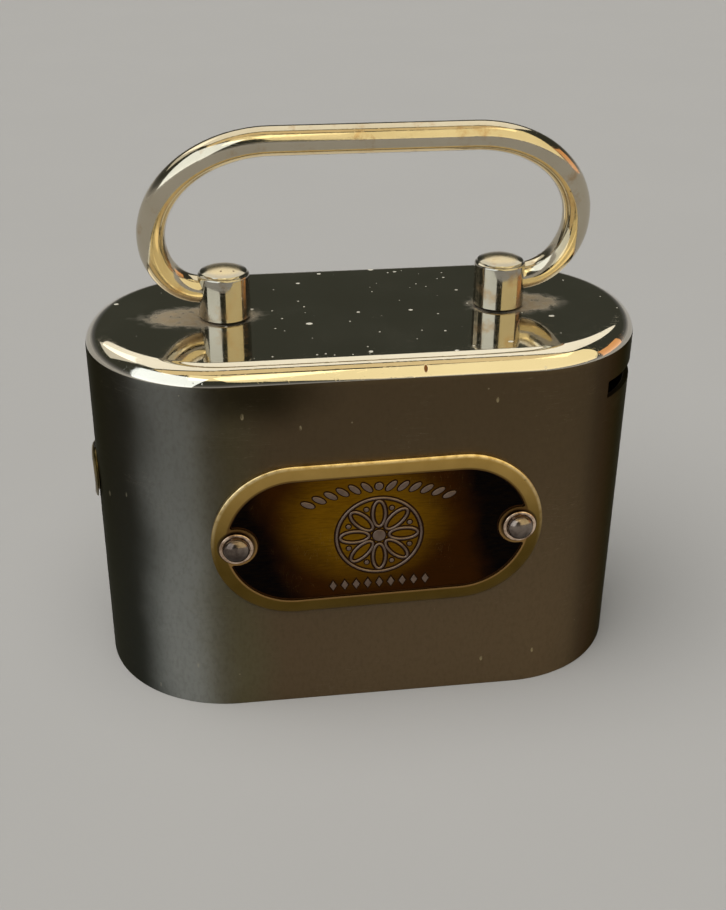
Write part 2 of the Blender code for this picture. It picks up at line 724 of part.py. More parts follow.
def clipped(points, edge_x, side):
    """The part of a closed outline on one side of x = edge_x; side 1 keeps +X, -1 keeps -X."""
    kept = []
    for (x0, y0), (x1, y1) in zip(points, points[1:] + points[:1]):
        if (x0 - edge_x) * side > 0:
            kept.append((x0, y0))
        if (x0 - edge_x) * (x1 - edge_x) < 0:
            share = (edge_x - x0) / (x1 - x0)
            kept.append((edge_x, y0 + share * (y1 - y0)))
    return kept


def knuckle_tools(label, spans, toward):
    """Knuckles along the hinge axis, each with the tab that joins it to its plate on the side given."""
    axis = (HINGE_X, BASE_Z)
    low_x, high_x = sorted((HINGE_X, HINGE_X + toward * (HINGE_SETBACK + JOIN)))
    for i, (low_y, high_y) in enumerate(spans):
        yield rod_tool(f"add_{label}_knuckle_{i}", KNUCKLE_RADIUS, low_y, high_y, "Y", axis, SMALL_STEPS)
        yield box_tool(f"add_{label}_tab_{i}", (low_x, low_y, BASE_Z), (high_x, high_y, BASE_Z + BASE_SHEET))


def hinge_bore(label):
    reach = CASE_DEPTH / 2
    axis = (HINGE_X, BASE_Z)
    return rod_tool(f"cut_{label}_hinge_bore", KNUCKLE_HOLE, -reach, reach, "Y", axis, SMALL_STEPS)


def make_base_end_plate():
    """The fixed part of the base, welded under the ledge, with the two outer knuckles."""
    outline = clipped(inner_stadium(BASE_PLAY), HINGE_X - HINGE_SETBACK, -1)
    plate = flat_tool("end_plate_blank", [outline], BASE_SHEET, (0, 0, BASE_Z + BASE_SHEET / 2))
    plate = as_part(plate, "base_end_plate", "zinc_steel")
    inner_y = LID_KNUCKLE_HALF + GAP
    spans = [(-HINGE_HALF_WIDTH, -inner_y), (inner_y, HINGE_HALF_WIDTH)]
    for piece in knuckle_tools("fixed", spans, -1):
        boolean(plate, "UNION", piece)
    boolean(plate, "DIFFERENCE", hinge_bore("fixed"))
    return plate


def upright_cutter(name, radius, centre):
    """A vertical cutter through the base sheet and what is screwed to it."""
    return rod_tool(name, radius, BASE_Z - CUT_REACH, BASE_Z + CUT_REACH, "Z", centre)


def make_base_lid():
    """The opening part of the base, with its knuckle and the holes for the lock."""
    outline = clipped(inner_stadium(BASE_PLAY), HINGE_X + HINGE_SETBACK, 1)
    lid = flat_tool("lid_blank", [outline], BASE_SHEET, (0, 0, BASE_Z + BASE_SHEET / 2))
    lid = as_part(lid, "base_lid", "zinc_steel")
    for piece in knuckle_tools("lid", [(-LID_KNUCKLE_HALF, LID_KNUCKLE_HALF)], 1):
        boolean(lid, "UNION", piece)
    boolean(lid, "DIFFERENCE", hinge_bore("lid"))
    boolean(lid, "DIFFERENCE", upright_cutter("cut_lid_barrel", BARREL_RADIUS + GAP, (LOCK_X, 0)))
    for side, y in (("left", -SCREW_Y), ("right", SCREW_Y)):
        boolean(lid, "DIFFERENCE", upright_cutter(f"cut_lid_{side}_screw", SCREW_RADIUS + GAP, (SCREW_X, y)))
    set_origin(lid, (HINGE_X, 0, BASE_Z))
    return lid


def make_hinge_pin():
    headed_pin("hinge_pin", HINGE_PIN_RADIUS, KNUCKLE_HOLE, HINGE_PIN_HALF - PIN_HEAD, HINGE_X, BASE_Z)


# ---------------------------------------------------------------- lock


def make_lock_barrel():
    """The collar through the lid that the plug turns in; its flange shows underneath."""
    flange_high = BASE_Z - GAP
    flange_low = flange_high - BARREL_FLANGE_THICK
    profile = [
        (BARREL_BORE, BARREL_TOP_Z),
        (BARREL_RADIUS, BARREL_TOP_Z),
        (BARREL_RADIUS, flange_high),
        (BARREL_FLANGE_RADIUS, flange_high),
        (BARREL_FLANGE_RADIUS - BARREL_CHAMFER, flange_low),
        (BARREL_BORE, flange_low),
        (BARREL_BORE, BARREL_TOP_Z),
    ]
    barrel = turned("lock_barrel", profile, "brass")
    barrel.location.x = LOCK_X
    return barrel


def make_lock_plug():
    profile = [(0, BARREL_TOP_Z), (PLUG_RADIUS, BARREL_TOP_Z), (PLUG_RADIUS, PLUG_LOW_Z), (0, PLUG_LOW_Z)]
    plug = turned("lock_plug", profile, "brass")
    plug.location.x = LOCK_X
    keyway = box_tool(
        "cut_keyway",
        (LOCK_X - KEYWAY_LENGTH / 2, -KEYWAY_WIDTH / 2, PLUG_LOW_Z - CUT_REACH),
        (LOCK_X + KEYWAY_LENGTH / 2, KEYWAY_WIDTH / 2, PLUG_LOW_Z + KEYWAY_DEPTH),
    )
    boolean(plug, "DIFFERENCE", keyway)
    return plug


def make_lock_cam():
    """A disc on the plug's end, with the pin that works in the bolt's cross slot."""
    disc = rod_tool("cam_disc", CAM_RADIUS, CAM_Z, CAM_Z + CAM_THICK, "Z", (LOCK_X, 0))
    cam = as_part(disc, "lock_cam", "zinc_steel")
    pin_x = LOCK_X + CAM_PIN_THROW * math.cos(CAM_REST_ANGLE)
    pin_y = CAM_PIN_THROW * math.sin(CAM_REST_ANGLE)
    pin_top = BOLT_Z + BOLT_THICK
    pin_low = CAM_Z + CAM_THICK / 2
    pin = rod_tool("add_cam_pin", CAM_PIN_RADIUS, pin_low, pin_top, "Z", (pin_x, pin_y), SMALL_STEPS)
    boolean(cam, "UNION", pin)
    return cam


def make_lock_bolt():
    """A flat bolt with a cross slot for the cam's pin."""
    top = BOLT_Z + BOLT_THICK
    low = (BOLT_REAR_X, -BOLT_HALF_WIDTH, BOLT_Z)
    blank = box_tool("bolt_blank", low, (BOLT_TIP_X, BOLT_HALF_WIDTH, top))
    bolt = as_part(blank, "lock_bolt", "zinc_steel")
    slot_x = LOCK_X + CAM_PIN_THROW * math.cos(CAM_REST_ANGLE)
    half = CAM_PIN_RADIUS + GAP
    slot = box_tool(
        "cut_bolt_slot",
        (slot_x - half, -CAM_PIN_THROW - half, BOLT_Z - CUT_REACH),
        (slot_x + half, CAM_PIN_THROW * math.sin(CAM_REST_ANGLE) + half, top + CUT_REACH),
    )
    boolean(bolt, "DIFFERENCE", slot)
    return bolt


def make_lock_case():
    """A drawn cover over the cam and bolt, open below, with a mouth for the bolt and two screwed lugs."""
    low_x, high_x = LOCKCASE_X
    half = LOCKCASE_HALF_WIDTH
    sheet = LOCKCASE_SHEET
    block = box_tool("case_block", (low_x, -half, LOCKCASE_BOTTOM_Z), (high_x, half, LOCKCASE_TOP_Z))
    case = as_part(block, "lock_case", "zinc_steel")
    lug_top = LOCKCASE_BOTTOM_Z + sheet
    lugs = box_tool(
        "add_case_lugs",
        (SCREW_X - LUG_HALF_LENGTH, -LUG_REACH, LOCKCASE_BOTTOM_Z),
        (SCREW_X + LUG_HALF_LENGTH, LUG_REACH, lug_top),
    )
    boolean(case, "UNION", lugs)
    hollow = box_tool(
        "cut_case_hollow",
        (low_x + sheet, -half + sheet, LOCKCASE_BOTTOM_Z - CUT_REACH),
        (high_x - sheet, half - sheet, LOCKCASE_TOP_Z - sheet),
    )
    boolean(case, "DIFFERENCE", hollow)
    mouth_half = BOLT_HALF_WIDTH + CLEAR
    mouth = box_tool(
        "cut_case_mouth",
        (high_x - 2 * sheet, -mouth_half, BOLT_Z - CLEAR),
        (high_x + sheet, mouth_half, BOLT_Z + BOLT_THICK + CLEAR),
    )
    boolean(case, "DIFFERENCE", mouth)
    for side, y in (("left", -SCREW_Y), ("right", SCREW_Y)):
        hole = upright_cutter(f"cut_case_{side}_screw", SCREW_RADIUS + GAP, (SCREW_X, y))
        boolean(case, "DIFFERENCE", hole)
    return case


def make_case_screw(side, y):
    seat = LOCKCASE_BOTTOM_Z + LOCKCASE_SHEET + GAP
    profile = [
        (0, seat + SCREW_HEAD_HEIGHT),
        (SCREW_HEAD_RADIUS * SCREW_HEAD_FLAT, seat + SCREW_HEAD_HEIGHT),
        (SCREW_HEAD_RADIUS, seat + SCREW_HEAD_HEIGHT / 2),
        (SCREW_HEAD_RADIUS, seat),
        (SCREW_RADIUS, seat),
        (SCREW_RADIUS, BASE_Z + GAP / 2),
        (0, BASE_Z + GAP / 2),
    ]
    screw = turned(f"lock_{side}_screw", profile, "zinc_steel", SMALL_STEPS)
    screw.location = (SCREW_X, y, 0)


clear_scene()
PARTS = new_collection("oval_savings_bank")
CUTTERS = new_collection("cutters")
ASSEMBLY = bpy.data.objects.new("assembly", None)
PARTS.objects.link(ASSEMBLY)
ASSEMBLY.location.y = FRONT_PROUD / 2
bpy.context.view_layer.update()

make_body_shell()
make_post("left", -POST_X)
make_post("right", POST_X)
make_handle()
make_name_plate()
make_plate_fastening("left", -RIVET_X)
make_plate_fastening("right", RIVET_X)
make_coin_guard()
make_coin_flap()
make_coin_flap_pin()
make_coin_flap_spring()
make_note_eyelet()
make_note_guard()
make_base_ledge()
make_base_end_plate()
make_base_lid()
make_hinge_pin()
make_lock_barrel()
make_lock_plug()
make_lock_cam()
make_lock_bolt()
make_lock_case()
make_case_screw("left", -SCREW_Y)
make_case_screw("right", SCREW_Y)
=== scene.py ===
"""Looks of the oval savings bank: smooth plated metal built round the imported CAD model.

Everything is in metres in the CAD model's own frame: +Z up, -Y the plate's side, +X the coin-slot end.
Places come from the boxes of the CAD nodes, and the sizes below are the object's own.
"""

import json
import math

import bpy
from mathutils import Matrix, Vector


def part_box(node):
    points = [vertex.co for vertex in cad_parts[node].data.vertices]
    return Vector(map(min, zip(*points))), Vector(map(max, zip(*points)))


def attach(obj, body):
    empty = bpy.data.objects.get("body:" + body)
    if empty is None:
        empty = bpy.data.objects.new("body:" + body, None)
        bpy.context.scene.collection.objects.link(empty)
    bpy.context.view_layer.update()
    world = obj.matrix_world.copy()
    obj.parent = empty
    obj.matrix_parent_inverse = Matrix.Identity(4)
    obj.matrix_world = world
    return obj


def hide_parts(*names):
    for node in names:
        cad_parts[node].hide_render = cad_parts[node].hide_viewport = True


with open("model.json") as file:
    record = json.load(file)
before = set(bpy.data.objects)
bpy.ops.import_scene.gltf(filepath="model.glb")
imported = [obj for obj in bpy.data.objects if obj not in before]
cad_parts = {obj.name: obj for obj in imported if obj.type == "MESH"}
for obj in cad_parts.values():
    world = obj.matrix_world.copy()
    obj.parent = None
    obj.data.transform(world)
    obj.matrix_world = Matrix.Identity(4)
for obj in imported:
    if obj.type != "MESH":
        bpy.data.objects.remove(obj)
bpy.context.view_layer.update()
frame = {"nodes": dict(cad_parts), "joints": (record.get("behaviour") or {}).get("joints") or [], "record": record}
MM = 0.001

# ---------------------------------------------------------------- sizes and places

shell_low, shell_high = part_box("body_shell")
CASE_HALF_LENGTH = (shell_high.x - shell_low.x) / 2
END_RADIUS = (shell_high.y - shell_low.y) / 2
END_CENTRE = CASE_HALF_LENGTH - END_RADIUS
CASE_HEIGHT = shell_high.z
MID_Y = (shell_low.y + shell_high.y) / 2
WALL = 1.0 * MM
RIM_RADIUS = 3.8 * MM
POLISH_LOW_Z = CASE_HEIGHT - RIM_RADIUS * (1 - math.sin(math.radians(12.5)))
EDGE_ROUND = 0.12 * MM
CUT = 6 * MM
WELD_DISTANCE = 0.002 * MM
END_STEPS = 56
SIDE_STEPS = 24
RIM_STEPS = 14

SLOT_LOW_Z = 57.0 * MM
SLOT_HIGH_Z = 60.2 * MM
SLOT_HALF_WIDTH = 18.5 * MM

joint_places = {joint["name"]: joint.get("pos_m") for joint in frame["joints"]}
BAIL_AXIS_Z = joint_places["handle_swing"][2]
BAIL_RADIUS = 2.45 * MM
BAIL_HALF_WIDTH = 37.1 * MM
BAIL_RISE = 30.5 * MM
BAIL_END_X = 24.6 * MM
BAIL_BEND_X = 28.7 * MM
BAIL_LOWER_RISE = 11.5 * MM
BAIL_UPPER_RUN = 20.2 * MM
BAIL_LEAN = math.radians(20)
BAIL_BEND_STEPS = 28

POST_X = 25 * MM
POST_TOP_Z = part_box("left_post")[1].z
POST_RADIUS = (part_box("left_post")[1].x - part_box("left_post")[0].x) / 2
POST_LOW_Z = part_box("left_post")[0].z
POST_HOLE = 2.55 * MM
POST_CROWN = 1.1 * MM
POST_CORNER = 0.55 * MM
POST_CHAMFER = 0.15 * MM
STUD_RADIUS = 2.0 * MM
STUD_HOLE = 2.4 * MM

plate_low, plate_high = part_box("name_plate")
PLATE_X = (plate_low.x + plate_high.x) / 2
PLATE_Z = (plate_low.z + plate_high.z) / 2
PLATE_TILT = math.radians(0.9)
PLATE_HALF_LENGTH = 29.7 * MM
PLATE_HALF_HEIGHT = 14.95 * MM
PLATE_FACE_Y = plate_low.y
PLATE_BACK_Y = shell_low.y + 0.02 * MM
PLATE_BORDER = 2.75 * MM
PLATE_CROWN = 0.50 * MM
PLATE_EDGE = 0.20 * MM
PLATE_PAD_RADIUS = 3.7 * MM
PAD_FILLET = 0.35 * MM
RIVET_X = 25.3 * MM
RIVET_HOLE = 1.4 * MM
RIVET_SHANK = 1.0 * MM
RIVET_RADIUS = 2.3 * MM
RIVET_HEAD = 1.3 * MM
RIVET_TAIL_RADII = (1.4 * MM, 1.7 * MM)
RIVET_TAIL_HEIGHT = 0.6 * MM
RING_RADIUS = 3.0 * MM
CROWN_STEPS = 14
FIELD_SINK = 0.35 * MM
FIELD_Y = PLATE_FACE_Y + FIELD_SINK
FIELD_OVERLAP = 0.25 * MM
# The dark line along the field's edge is a painted shadow of the border's step.
SHADOW_LINE_INSET = 0.12 * MM
SHADOW_LINE_RADIUS = 0.15 * MM

# The plate's ornament: a rosette, an arch of leaves above it and a row of lozenges below.
ROSETTE_RADIUS = 7.6 * MM
PETALS = 8
PETAL_PLACE = 4.4 * MM
PETAL_LENGTH = 5.2 * MM
PETAL_WIDTH = 2.3 * MM
BOSS_RADIUS = 1.15 * MM
BEAD_PLACE = 5.9 * MM
BEAD_RADIUS = 0.40 * MM
ARCH_LEAVES = 6
ARCH_STEP = 2.15 * MM
ARCH_RADIUS = 30 * MM
ARCH_RISE = 10.0 * MM
ARCH_BEAD_RADIUS = 0.70 * MM
LEAF_LENGTH = 2.5 * MM
LEAF_WIDTH = 1.0 * MM
LEAF_SLANT = 0.85
ROW_LOZENGES = 4
ROW_STEP = 2.1 * MM
ROW_DROP = 9.9 * MM
LOZENGE_LENGTH = 2.0 * MM
LOZENGE_WIDTH = 1.25 * MM
LINE_WIDTH = 0.44 * MM
LINE_HEIGHT = 0.18 * MM
SHADOW_WIDTH = 1.05 * MM
SHADOW_HEIGHT = 0.03 * MM
SHADOW_GROW = 0.22 * MM

GAP = 0.3 * MM
NOTE_Z = (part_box("note_eyelet")[0].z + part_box("note_eyelet")[1].z) / 2
NOTE_BORE = 3.4 * MM
NOTE_TUBE = 4.0 * MM
NOTE_FLANGE = 5.2 * MM
NOTE_TUBE_END = 3.8 * MM
# The rolled flange from its outer edge inwards, as (radius, height above the case).
NOTE_ROLL = (
    (NOTE_FLANGE - 0.08 * MM, 0.0),
    (NOTE_FLANGE, 0.12 * MM),
    (NOTE_FLANGE - 0.12 * MM, 0.26 * MM),
    (4.7 * MM, 0.42 * MM),
    (4.2 * MM, 0.50 * MM),
    (3.8 * MM, 0.45 * MM),
    (3.5 * MM, 0.28 * MM),
)

# Wear, and painted shade. A brown patch lies round each post: its side, and how far it reaches
# inwards and outwards. A nick is on the front of the rim. A black burn is at each end of the plate's
# field: the place of its edge along the plate's middle line, and that edge's slope. A patch of
# painted shade lies on the wall under the rim.
POST_PATCHES = ((-1, 7.5 * MM, 16 * MM), (1, 6.5 * MM, 13 * MM))
PATCH_SIZES = (5.6 * MM, 20 * MM)
RIM_NICK = (7.3 * MM, MID_Y - END_RADIUS + 0.5 * MM, CASE_HEIGHT - 1.5 * MM)
NICK_HALF_SIZES = (0.45 * MM, 0.9 * MM, 0.9 * MM)
BURNS = ((-18.0 * MM, 0.37), (16.5 * MM, 0.15))
BURN_FADE = 3.4 * MM
SHADE_PATCH = (-21 * MM, MID_Y - END_RADIUS, POLISH_LOW_Z - 1 * MM)
SHADE_PATCH_HALF_SIZES = (13 * MM, 40 * MM, 9 * MM)

# ---------------------------------------------------------------- mesh helpers


def link(obj):
    bpy.context.scene.collection.objects.link(obj)
    return obj


def mesh_object(name, verts, faces):
    mesh = bpy.data.meshes.new(name)
    mesh.from_pydata(verts, [], faces)
    mesh.validate()
    return link(bpy.data.objects.new(name, mesh))


def baked(obj):
    """The object with its modifiers, or its curve, turned into a plain mesh at the world origin."""
    bpy.context.view_layer.update()
    evaluated = obj.evaluated_get(bpy.context.evaluated_depsgraph_get())
    mesh = bpy.data.meshes.new_from_object(evaluated)
    mesh.transform(obj.matrix_world)
    name = obj.name
    materials = list(obj.data.materials)
    bpy.data.objects.remove(obj, do_unlink=True)
    made = link(bpy.data.objects.new(name, mesh))
    mesh.materials.clear()
    for material in materials:
        mesh.materials.append(material)
    return made


def smooth(obj, angle=35):
    """Smooth shading that keeps flat faces flat, with creases over the angle in degrees."""
    obj.data.shade_smooth()
    obj.data.set_sharp_from_angle(angle=math.radians(angle))
    weighted = obj.modifiers.new("Weighted normals", "WEIGHTED_NORMAL")
    weighted.keep_sharp = True
    return obj


def bored(obj, cutters):
    """The object with the cutters' shapes taken away. The cutters are used up."""
    for cutter in cutters:
        modifier = obj.modifiers.new(cutter.name, "BOOLEAN")
        modifier.operation = "DIFFERENCE"
        modifier.object = cutter
        modifier.solver = "EXACT"
    made = baked(obj)
    for cutter in cutters:
        bpy.data.objects.remove(cutter, do_unlink=True)
    return made


def round_edges(obj, width, segments, angle):
    """Rounds the edges that turn by more than the angle in degrees."""
    edges = obj.modifiers.new("Edges", "BEVEL")
    edges.width = width
    edges.segments = segments
    edges.limit_method = "ANGLE"
    edges.angle_limit = math.radians(angle)


def cylinder(name, radius, start, end, steps=64):
    """A closed cylinder between two points, for cutting."""
    axis = Vector(end) - Vector(start)
    turn = axis.to_track_quat("Z", "Y").to_matrix().to_4x4()
    ring = [(radius * math.cos(a), radius * math.sin(a)) for a in angles(steps)]
    verts = [(x, y, z) for z in (0, axis.length) for x, y in ring]
    faces = [(i, (i + 1) % steps, steps + (i + 1) % steps, steps + i) for i in range(steps)]
    faces += [tuple(reversed(range(steps))), tuple(range(steps, 2 * steps))]
    obj = mesh_object(name, verts, faces)
    obj.matrix_world = Matrix.Translation(start) @ turn
    return obj


def angles(steps):
    return [2 * math.pi * i / steps for i in range(steps)]


def arc(x, y, radius, start, end, steps):
    """Points on an arc, both ends included; angles in degrees."""
    turns = [math.radians(start + (end - start) * i / steps) for i in range(steps + 1)]
    return [(x + radius * math.cos(a), y + radius * math.sin(a)) for a in turns]


def turned(name, profile, steps=64, closed=False):
    """A profile of (radius, z) points turned about its own z axis; a closed one has a hole."""
    verts = []
    for a in angles(steps):
        verts += [(r * math.cos(a), r * math.sin(a), z) for r, z in profile]
    count = len(profile)
    faces = []
    for i in range(steps):
        here, there = i * count, (i + 1) % steps * count
        for j in range(count if closed else count - 1):
            k = (j + 1) % count
            faces.append((here + k, here + j, there + j, there + k))
    return welded(mesh_object(name, verts, faces))


def welded(obj):
    weld = obj.modifiers.new("Weld", "WELD")
    weld.merge_threshold = WELD_DISTANCE
    return baked(obj)


def tube(name, path, radius, sides=32, cyclic=False):
    """A round rod along a list of points, with closed ends."""
    curve = bpy.data.curves.new(name, "CURVE")
    curve.dimensions = "3D"
    curve.bevel_depth = radius
    curve.bevel_resolution = sides // 4 - 1
    curve.use_fill_caps = True
    spline = curve.splines.new("POLY")
    spline.points.add(len(path) - 1)
    for point, place in zip(spline.points, path):
        point.co = (*place, 1)
    spline.use_cyclic_u = cyclic
    return welded(link(bpy.data.objects.new(name, curve)))


def flat_outline(name, loops, thickness, edge=0.0):
    """A flat solid from closed loops, the later ones holes, with its edges rounded by edge."""
    curve = bpy.data.curves.new(name, "CURVE")
    curve.dimensions = "2D"
    curve.fill_mode = "BOTH"
    curve.extrude = thickness / 2 - edge
    curve.bevel_depth = edge
    curve.bevel_resolution = 2
    curve.offset = -edge
    for loop in loops:
        spline = curve.splines.new("POLY")
        spline.points.add(len(loop) - 1)
        for point, (x, y) in zip(spline.points, loop):
            point.co = (x, y, 0, 1)
        spline.use_cyclic_u = True
    return link(bpy.data.objects.new(name, curve))


def plate_frame(y, along=0.0):
    """Takes a flat shape in X and Y to the plate's plane at depth y, this far along its middle line."""
    stand = Matrix.Rotation(-PLATE_TILT, 4, "Y") @ Matrix.Rotation(math.pi / 2, 4, "X")
    return Matrix.Translation((PLATE_X, y, PLATE_Z)) @ stand @ Matrix.Translation((along, 0, 0))


def moved(obj, matrix):
    """The object with its mesh moved, its own origin staying at the world's."""
    obj.data.transform(matrix)
    return obj


def joined(name, objects):
    """Several meshes as one piece."""
    bpy.ops.object.select_all(action="DESELECT")
    for obj in objects:
        obj.select_set(True)
    bpy.context.view_layer.objects.active = objects[0]
    bpy.ops.object.join()
    objects[0].name = name
    return objects[0]


# ---------------------------------------------------------------- material helpers


class Shader:
    """A metal's node tree, with short calls for the textures that the materials share."""

    def __init__(self, name, colour, roughness, metallic=1.0):
        self.material = bpy.data.materials.new(name)
        self.material.use_nodes = True
        self.nodes = self.material.node_tree.nodes
        self.links = self.material.node_tree.links
        self.surface = self.nodes["Principled BSDF"]
        self.surface.inputs["Metallic"].default_value = metallic
        self.surface.inputs["Base Color"].default_value = (*colour, 1)
        self.surface.inputs["Roughness"].default_value = roughness
        self.place = self.nodes.new("ShaderNodeTexCoord").outputs["Object"]

    def put(self, socket, value):
        """Links a socket, or sets a plain value or an RGB colour."""
        if isinstance(value, bpy.types.NodeSocket):
            self.links.new(value, socket)
        elif socket.type == "RGBA":
            socket.default_value = (*value, 1)
        else:
            socket.default_value = value

    def scaled(self, scale, offset=(0, 0, 0)):
        """Object coordinates multiplied by a scale for each axis, in features per metre."""
        mapping = self.nodes.new("ShaderNodeMapping")
        self.put(mapping.inputs["Vector"], self.place)
        mapping.inputs["Scale"].default_value = scale
        mapping.inputs["Location"].default_value = offset
        return mapping.outputs["Vector"]

    def noise(self, size, detail=4.0, roughness=0.55, stretch=(1, 1, 1), seed=0.0):
        """Noise from 0 to 1 with features of about this size in metres, drawn out by stretch."""
        texture = self.nodes.new("ShaderNodeTexNoise")
        scale = tuple(1 / (size * s) for s in stretch)
        self.put(texture.inputs["Vector"], self.scaled(scale, (seed, seed, seed)))
        texture.inputs["Scale"].default_value = 1.0
        texture.inputs["Detail"].default_value = detail
        texture.inputs["Roughness"].default_value = roughness
        return texture.outputs["Fac"]

    def ramp(self, value, low, high, out_low=0.0, out_high=1.0):
        """Maps low..high to out_low..out_high smoothly, held at the ends."""
        node = self.nodes.new("ShaderNodeMapRange")
        node.interpolation_type = "SMOOTHSTEP"
        self.put(node.inputs["Value"], value)
        node.inputs["From Min"].default_value = low
        node.inputs["From Max"].default_value = high
        node.inputs["To Min"].default_value = out_low
        node.inputs["To Max"].default_value = out_high
        return node.outputs["Result"]

    def math(self, operation, a, b=0.0):
        node = self.nodes.new("ShaderNodeMath")
        node.operation = operation
        self.put(node.inputs[0], a)
        self.put(node.inputs[1], b)
        return node.outputs[0]

    def times(self, first, *others):
        """The product of two or more values."""
        for other in others:
            first = self.math("MULTIPLY", first, other)
        return first

    def blend(self, factor, a, b):
        """Colour a turning into colour b."""
        node = self.nodes.new("ShaderNodeMix")
        node.data_type = "RGBA"
        self.put(node.inputs[0], factor)
        self.put(node.inputs[6], a)
        self.put(node.inputs[7], b)
        return node.outputs[2]

    def between(self, factor, a, b):
        """Value a turning into value b."""
        node = self.nodes.new("ShaderNodeMix")
        self.put(node.inputs[0], factor)
        self.put(node.inputs[2], a)
        self.put(node.inputs[3], b)
        return node.outputs[0]

    def specks(self, spacing, radius, share, seed=0.0, stretch=(1, 1, 1)):
        """Round spots, 1 inside and 0 outside, in this share of cells that are spacing apart."""
        texture = self.nodes.new("ShaderNodeTexVoronoi")
        scale = tuple(1 / (spacing * s) for s in stretch)
        self.put(texture.inputs["Vector"], self.scaled(scale, (seed, seed, seed)))
        texture.inputs["Scale"].default_value = 1.0
        split = self.nodes.new("ShaderNodeSeparateColor")
        self.put(split.inputs[0], texture.outputs["Color"])
        size = self.ramp(split.outputs[0], 1 - share, 1.0, 0.0, radius / spacing)
        edge = self.math("SUBTRACT", size, texture.outputs["Distance"])
        return self.ramp(edge, 0.0, 0.25 * radius / spacing)

    def spot(self, centre, half_sizes):
        """Distance from a centre measured so that 1 is on an ellipse of these half sizes."""
        offset = tuple(-c / s for c, s in zip(centre, half_sizes))
        moved = self.scaled(tuple(1 / s for s in half_sizes), offset)
        length = self.nodes.new("ShaderNodeVectorMath")
        length.operation = "LENGTH"
        self.put(length.inputs[0], moved)
        return length.outputs["Value"]

    def axis(self, index):
        split = self.nodes.new("ShaderNodeSeparateXYZ")
        self.put(split.inputs[0], self.place)
        return split.outputs[index]

    def plate_inset(self):
        """How far a point lies inside the plate's outer edge, in metres."""
        local = self.nodes.new("ShaderNodeMapping")
        local.vector_type = "TEXTURE"
        self.put(local.inputs["Vector"], self.place)
        local.inputs["Location"].default_value = (PLATE_X, 0, PLATE_Z)
        local.inputs["Rotation"].default_value = (0, -PLATE_TILT, 0)
        split = self.nodes.new("ShaderNodeSeparateXYZ")
        self.put(split.inputs[0], local.outputs["Vector"])
        along, up = split.outputs[0], split.outputs[2]
        straight = PLATE_HALF_LENGTH - PLATE_HALF_HEIGHT
        beyond = self.math("MAXIMUM", self.math("SUBTRACT", self.math("ABSOLUTE", along), straight), 0.0)
        squares = self.math("ADD", self.math("POWER", beyond, 2.0), self.math("POWER", up, 2.0))
        return self.math("SUBTRACT", PLATE_HALF_HEIGHT, self.math("SQRT", squares))

    def bump(self, height, depth, below=None):
        node = self.nodes.new("ShaderNodeBump")
        node.inputs["Distance"].default_value = depth
        self.put(node.inputs["Height"], height)
        if below is not None:
            self.put(node.inputs["Normal"], below)
        return node.outputs["Normal"]

    def finish(self, **inputs):
        """Sets the surface's named inputs, an underscore standing for a space, and gives the material."""
        for name, value in inputs.items():
            self.put(self.surface.inputs[name.replace("_", " ")], value)
        return self.material


def scratches(shader, size, amount, stretch):
    """Thin broken lines: the crests of drawn-out noise, 0 to 1."""
    lines = shader.noise(size, detail=2.0, stretch=stretch)
    crest = shader.math("ABSOLUTE", shader.math("SUBTRACT", lines, 0.5))
    return shader.ramp(crest, 0.0, 0.012 * amount, 1.0, 0.0)


# ---------------------------------------------------------------- materials


def polished_top(name):
    """The case's mirror top and rim: worn plating, pale mineral specks and brown patches by the posts."""
    nickel, bright = (0.60, 0.555, 0.46), (0.72, 0.68, 0.60)
    brown, mineral, rust = (0.36, 0.27, 0.165), (0.62, 0.60, 0.53), (0.20, 0.09, 0.035)
    s = Shader(name, nickel, 0.06)
    cloud = s.noise(14 * MM, detail=5)
    fine = s.noise(1.6 * MM, detail=6, seed=3)
    colour = s.blend(cloud, nickel, bright)
    patch = 0.0
    for side, inner, outer in POST_PATCHES:
        middle = side * (POST_X + (outer - inner) / 2)
        half = (inner + outer) / 2
        distance = s.spot((middle, MID_Y, CASE_HEIGHT), (half, *PATCH_SIZES))
        ragged = s.math("ADD", distance, s.times(s.math("SUBTRACT", fine, 0.5), 0.7))
        patch = s.math("MAXIMUM", patch, s.ramp(ragged, 0.62, 1.05, 1.0, 0.0))
    level = s.ramp(s.axis(2), CASE_HEIGHT - 0.25 * MM, CASE_HEIGHT - 0.05 * MM)
    patch = s.times(patch, level, s.ramp(fine, 0.30, 0.60, 0.50, 0.90))
    pale = s.specks(3.6 * MM, 0.58 * MM, 0.62, seed=2, stretch=(1.35, 1, 1))
    tiny = s.specks(1.5 * MM, 0.20 * MM, 0.30, seed=7)
    pale = s.math("MAXIMUM", pale, s.times(tiny, 0.8))
    pale = s.times(pale, s.between(level, 0.25, 1.0))
    nick = s.spot(RIM_NICK, NICK_HALF_SIZES)
    nick = s.ramp(s.math("ADD", nick, s.times(fine, 0.8)), 1.0, 1.35, 1.0, 0.0)
    colour = s.blend(patch, colour, brown)
    colour = s.blend(pale, colour, mineral)
    colour = s.blend(nick, colour, rust)
    haze = s.ramp(cloud, 0.35, 0.75, 0.035, 0.10)
    rough = s.between(patch, haze, 0.48)
    rough = s.between(s.math("MAXIMUM", pale, nick), rough, 0.65)
    metal = s.between(pale, s.between(patch, 1.0, 0.5), 0.15)
    crust = s.times(patch, fine, 0.5)
    relief = s.math("ADD", s.times(pale, 0.8), crust)
    relief = s.math("SUBTRACT", relief, nick)
    line = scratches(s, 5 * MM, 0.6, (1, 0.18, 1))
    normal = s.bump(s.noise(9 * MM, detail=2, seed=5), 0.02 * MM)
    normal = s.bump(relief, 0.03 * MM, below=normal)
    normal = s.bump(line, 0.0015 * MM, below=normal)
    return s.finish(Base_Color=colour, Roughness=rough, Metallic=metal, Normal=normal)


